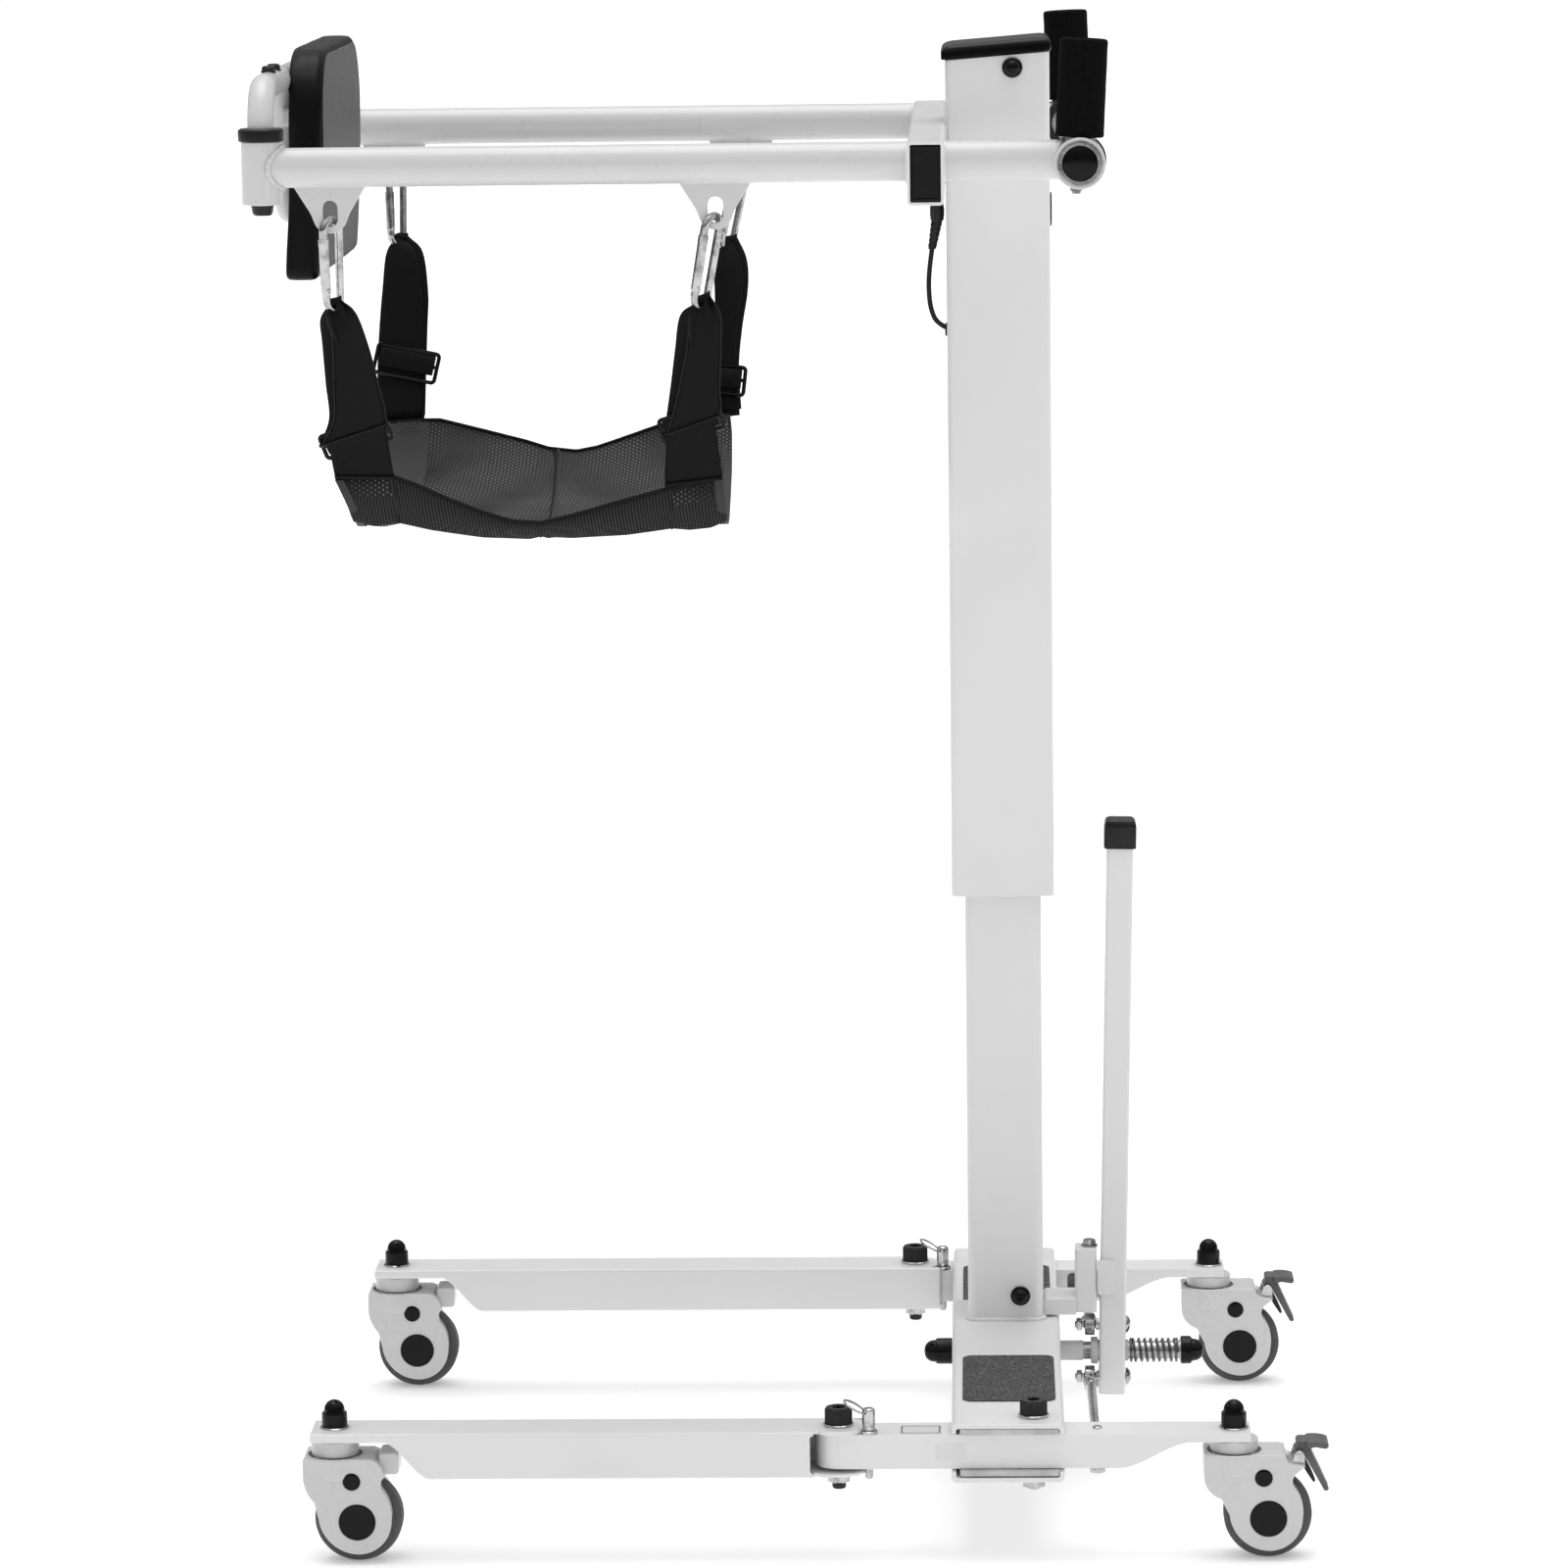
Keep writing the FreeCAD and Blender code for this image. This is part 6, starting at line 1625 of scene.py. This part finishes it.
def straps():
    """Four straps, each with its two leaves, hook loop, buckle, sewn patch and spring hook."""
    for side, s in SIDES:
        for end in ENDS:
            edges = strap_edges(end, side, s)
            # outer leaf: from the hook down over the seat's edge; inner leaf behind it, turned a little
            bulges = (3.5, 4.5, 2.5, 1.2, 0.6, 0.3)
            if s < 0:
                # the near leaf ends in a slanting sewn edge over the patch
                (lx, lz), (rx, rz) = NEAR_LEAF_END[end]
                edges = edges[:-1] + [((lx, y_at(lz, s), lz), (rx, y_at(rz, s), rz))]
                edges[-2] = tuple((a[0], y_at(a[2] + lift, s), a[2] + lift)
                                  for a, lift in zip(edges[-2], (4, 14)))
            outer = [(a, b, s * bulge) for (a, b), bulge in zip(edges, bulges)]
            outer = [((a[0], a[1] + s * gap, a[2]), (b[0], b[1] + s * gap, b[2]), bulge)
                     for (a, b, bulge), gap in zip(outer, (2.0, 5.5, 5.2, 4.8, 4.4, 4.4))]
            inner = [((a[0] - 0.6 * k, a[1] - s * gap, a[2]), (b[0] - 6 + k, b[1] - s * gap, b[2]), -bulge)
                     for k, ((a, b), gap, bulge) in enumerate(zip(edges, (2.0, 6.5, 7.5, 5.5, 3.4, 2.6),
                                                                 (-3.0, -3.5, -2.0, -1.0, -0.4, -0.2)))]
            if s < 0:
                # the outer leaf is folded narrower than the inner one near the hook
                outer = [((a[0] + step, a[1], a[2]), b, bulge)
                         for (a, b, bulge), step in zip(outer, (2.0, 8.5, 9.0, 6.0, 2.5, 0.0))]
            # pale thread bars along both edges of the outer leaf: the webbing's selvage, made lighter as a
            # painted highlight where the edges catch the light
            rim = [smooth_line([Vector(station[k]) + Vector((0, s * 0.5, 0)) for station in outer], 6)
                   for k in (0, 1)]
            selvage_highlight = [paint(bar("selvage_highlight", line, 0.55, 8), THREAD) for line in rim]
            loop = hook_loop(edges, s)
            fold = gathered_fold(edges, s)
            cover = corner_cover(end, side, s)
            # a dark glossy bar along the near leaf's slanting end: partly the buckle's bar, partly a
            # painted shadow line under the leaf's edge
            if s < 0:
                a, b = (Vector(p) for p in outer[-1][:2])
                cover.append(paint(bar("buckle_bar_and_shadow_line", [a.lerp(b, t) + Vector((0, s * 0.6, -0.4)) for t in
                                                      np.linspace(-0.04, 1.04, 8)], 1.5, 10), GLOSS))
            parts = [ribbon("outer", eased(outer), 1.5), ribbon("inner", eased(inner), 1.5), loop, *selvage_highlight,
                     *fold, *cover]
            strap = join(f"sling_straps_{DISTANCE[side]}_{end}", *parts)
            dress_soft(strap, ["sling_straps"])
            dress(buckle(end, side, s), "mast", ["strap_buckles"])
            dress(carabiner(end, side, s), "mast", ["carabiners"])


def hook_loop(edges, s):
    """Gathered webbing where the strap turns over the hook's lower bend."""
    a, b = edges[0]
    mid = (Vector(a) + Vector(b)) / 2
    half = (Vector(b) - Vector(a)) / 2
    rings = []
    for t in np.linspace(0, pi, 11):
        lift = Vector((0, s * 4.2 * cos(t), 4.6 * sin(t) - 1.5))
        ring = []
        for k in range(16):
            angle = 2 * pi * k / 16
            width = half * (cos(angle) * (0.98 + 0.08 * sin(t)))
            ring.append(mid + lift + width + Vector((0, s * cos(t), sin(t))) * (1.1 * sin(angle)
                        * (1 + 0.5 * cos(3 * angle))))
        rings.append(ring)
    return paint(loft("loop", rings), STRAP)


def gathered_fold(edges, s):
    """Two soft pleats that run down from the hook."""
    pleats = []
    for share, reach, size in ((0.24, 3, 2.6), (0.68, 2, 3.0)):
        path = []
        for k in range(reach):
            a, b = (Vector(p) for p in edges[k])
            out = s * (3.2 + 2.6 * (k > 0) + 2.4 * (k == 1))
            path.append(tuple(a.lerp(b, share + 0.05 * k) + Vector((0, out, 0))))
        line = smooth_line(path, 8)
        radii = [size * (0.35 + 0.65 * sin(pi * min(1, 0.12 + 0.86 * i / (len(line) - 1))))
                 for i in range(len(line))]
        pleats.append(paint(bar("pleat", line, radii, 12), STRAP))
    return pleats


def corner_cover(end, side, s):
    """Lower end of the strap: a doubled patch sewn to the seat's outer side, its top edge slanting."""
    corners = {("front", "left"): ((-386, 962), (-337, 974), (-331, 924), (-381, 925)),
               ("rear", "left"): ((-101, 966), (-61, 978), (-55, 921), (-104, 915)),
               ("front", "right"): ((-391, 962), (-348, 952), (-348.5, 921), (-390, 920)),
               ("rear", "right"): ((-84, 958), (-60, 958), (-59, 924), (-86, 921))}
    (lx, lz), (rx, rz), (rbx, rbz), (lbx, lbz) = corners[(end, side)]
    stations = []
    for t in np.linspace(0, 1, 9):
        left = (lx + (lbx - lx) * t, y_at(lz + (lbz - lz) * t, s) + s * 2.3, lz + (lbz - lz) * t)
        right = (rx + (rbx - rx) * t, y_at(rz + (rbz - rz) * t, s) + s * 2.3, rz + (rbz - rz) * t)
        stations.append((left, right, s * 0.8 * sin(pi * t)))
    patch = ribbon("patch", stations, 1.6)
    seam = bar("patch_seam",
               [Vector(stations[-1][0]) + (Vector(stations[-1][1]) - Vector(stations[-1][0])) * t
                              + Vector((0, s * 1.0, 0)) for t in np.linspace(0, 1, 12)], 1.5, 8)
    return [patch, paint(seam, PIPING)]


def buckle(end, side, s):
    """Tri-glide buckle: a rounded frame with a middle bar, and the webbing folded over it."""
    spec = {("front", "left"): (-362, 959, 58, 21, -19), ("front", "right"): (-364.5, 973, 57, 27, 12),
            ("rear", "left"): (-80, 968, 52, 21, -16), ("rear", "right"): (-80, 956, 52, 26, 6)}
    x, z, width, tall, tilt = spec[(end, side)]
    y = y_at(z, s) + s * (0.4 if s < 0 else -7.0)
    outer = rectangle((-width / 2, width / 2), (-tall / 2, tall / 2), 3.2)
    frame_bar = [(p[0], 0, p[1]) for p in outer]
    rim = bar("frame", frame_bar, 1.9, 10, closed=True)
    middle = bar("middle", [(-width / 2, 0, 1), (-width / 4, 0, 1), (width / 4, 0, 1), (width / 2, 0, 1)],
                 1.7, 10)
    band = []
    for t in np.linspace(0, 2 * pi, 25)[:-1]:
        band.append((2.9 * cos(t), 9.4 * sin(t) + 2.4))
    rings = [[(w, p, q) for p, q in band] for w in np.linspace(-width / 2 + 3, width / 2 - 3, 12)]
    cloth = loft("band", rings)
    parts = [paint(rim, GLOSS), paint(middle, GLOSS), paint(cloth, STRAP)]
    lean = degrees(atan2(41, 145))
    for part in parts:
        turn(part, (0, tilt, 0), (0, 0, 0))
        turn(part, (lean * (1 if s < 0 else -1), 0, 0), (0, 0, 0))
        part.data.transform(Matrix.Translation(Vector((x, y, z)) * MM))
    return join(f"sling_buckle_{DISTANCE[side]}_{end}", *parts)


def carabiner(end, side, s):
    """Spring hook: pear-shaped bar, a hinged gate with its pin, and a notched nose."""
    spec = {("front", "left"): ((-375, 1143.7), (-374.5, 1070.2)),
            ("rear", "left"): ((-57.5, 1143.7), (-70.6, 1069.5)),
            ("front", "right"): ((-374, 1143.7), (-373.5, 1080)),
            ("rear", "right"): ((-56.5, 1143.7), (-71, 1073.5))}
    (tx, tz), (bx, bz) = spec[(end, side)]
    tall = tz - bz
    y_top, y_low = s * ARM_Y, s * (ARM_Y - 5)
    swing = radians(38)
    across = Vector((sin(swing), cos(swing), 0))
    upper, lower = 9.3, 8.2
    def at(w, drop):
        t = drop / tall
        centre = Vector((tx + (bx - tx) * t, y_top + (y_low - y_top) * t, tz - drop))
        return centre + across * w
    r = 3.4
    path = [at(upper * sin(t), upper * (1 - cos(t))) for t in np.linspace(-pi / 2, pi / 2, 13)]
    path += [at(upper + (lower - upper) * k, upper + (tall - lower - upper) * k) for k in (0.25, 0.5, 0.75)]
    path += [at(lower * cos(t), tall - lower + lower * sin(t)) for t in np.linspace(0, pi, 13)]
    path += [at(-lower - (upper - lower) * k, tall - lower - (tall - lower - upper) * k)
             for k in (0.25, 0.5, 0.75)]
    ring = bar("hook", path, r, 20, closed=True)
    gate_low, gate_high = at(-lower - 0.1, tall - lower - 4), at(-upper + 0.1, upper + 8)
    gate = bar("gate", [gate_low, gate_low.lerp(gate_high, 0.05), gate_low.lerp(gate_high, 0.95),
                        gate_high], [3.5, 4.1, 4.1, 3.5], 20)
    pin = bar("pin", [gate_low + Vector((0.9, -1.3, 1.2)) * 3.4 * k for k in (-1, -0.9, 0.9, 1)],
              [0.8, 1.4, 1.4, 0.8], 12)
    nose = bar("nose", [gate_high.lerp(gate_low, -0.04), gate_high.lerp(gate_low, 0.1)], [4.3, 4.3], 20)
    return join(f"carabiner_{DISTANCE[side]}_{end}", *painted(CHROME, ring, gate, pin, nose))


# ---------------------------------------------------------------- floor and light

def floor_look():
    """White studio floor with a faint glow of its own, so that the shadows on it stay light."""
    look = Look("studio_floor", Roughness=0.7, Specular_IOR_Level=0.1)
    look.link(look.ramp(look.noise(0.9, 3), (0.3, 0.87), (0.7, 0.90)), "Base Color")
    look.shader.inputs["Emission Color"].default_value = (1, 1, 1, 1)
    look.shader.inputs["Emission Strength"].default_value = 0.27
    look.bump(look.noise(240, 2), 0.02, 0.2)
    return look.material


def studio():
    """Pale floor, a bright world that the camera sees as white, and one wide soft sun."""
    floor = mesh_object("floor", [(-30000, -30000, -0.3), (30000, -30000, -0.3), (30000, 30000, -0.3),
                                  (-30000, 30000, -0.3)], [[0, 1, 2, 3]])
    paint(floor, floor_look())
    world = bpy.data.worlds.new("studio")
    world.use_nodes = True
    scene.world = world
    tree = world.node_tree
    tree.nodes.clear()
    output, seen, lit, place, split, shade, mix, path = (tree.nodes.new("ShaderNode" + kind) for kind in (
        "OutputWorld", "Background", "Background", "TexCoord", "SeparateXYZ", "ValToRGB", "MixShader",
        "LightPath"))
    seen.inputs["Color"].default_value = (1, 1, 1, 1)
    seen.inputs["Strength"].default_value = 1.0
    lit.inputs["Strength"].default_value = 0.80
    set_ramp(shade.color_ramp, ((0.0, 0.20), (0.10, 0.24), (0.22, 0.40), (0.42, 0.66), (0.70, 0.95),
                                (1.0, 1.30)))
    for source, target in ((place.outputs["Generated"], split.inputs["Vector"]),
                           (split.outputs["Z"], shade.inputs["Fac"]),
                           (shade.outputs["Color"], lit.inputs["Color"]),
                           (path.outputs["Is Camera Ray"], mix.inputs["Fac"]),
                           (lit.outputs["Background"], mix.inputs[1]),
                           (seen.outputs["Background"], mix.inputs[2]),
                           (mix.outputs["Shader"], output.inputs["Surface"])):
        tree.links.new(source, target)

    data = bpy.data.lights.new("ceiling_panel", "SUN")
    data.energy, data.angle = 1.4, radians(50)
    lamp = bpy.data.objects.new("ceiling_panel", data)
    scene.collection.objects.link(lamp)
    lamp.matrix_world = Matrix.Translation((0, 0, 4)) @ Matrix.Rotation(radians(-6), 4, "X")
    scene.view_settings.view_transform = "Standard"


# ---------------------------------------------------------------- assembly

make_camera()
cable()
crossbeam()
column()
arms()
cross_tube()
hangers()
for side_name, side_sign in SIDES:
    front_leg(side_name, side_sign)
    rear_leg(side_name, side_sign)
    quick_pin(side_name, side_sign)
    for end_name in ENDS:
        caster(end_name, side_name, side_sign)
lever()
pad_gate()
straps()
seat()
studio()
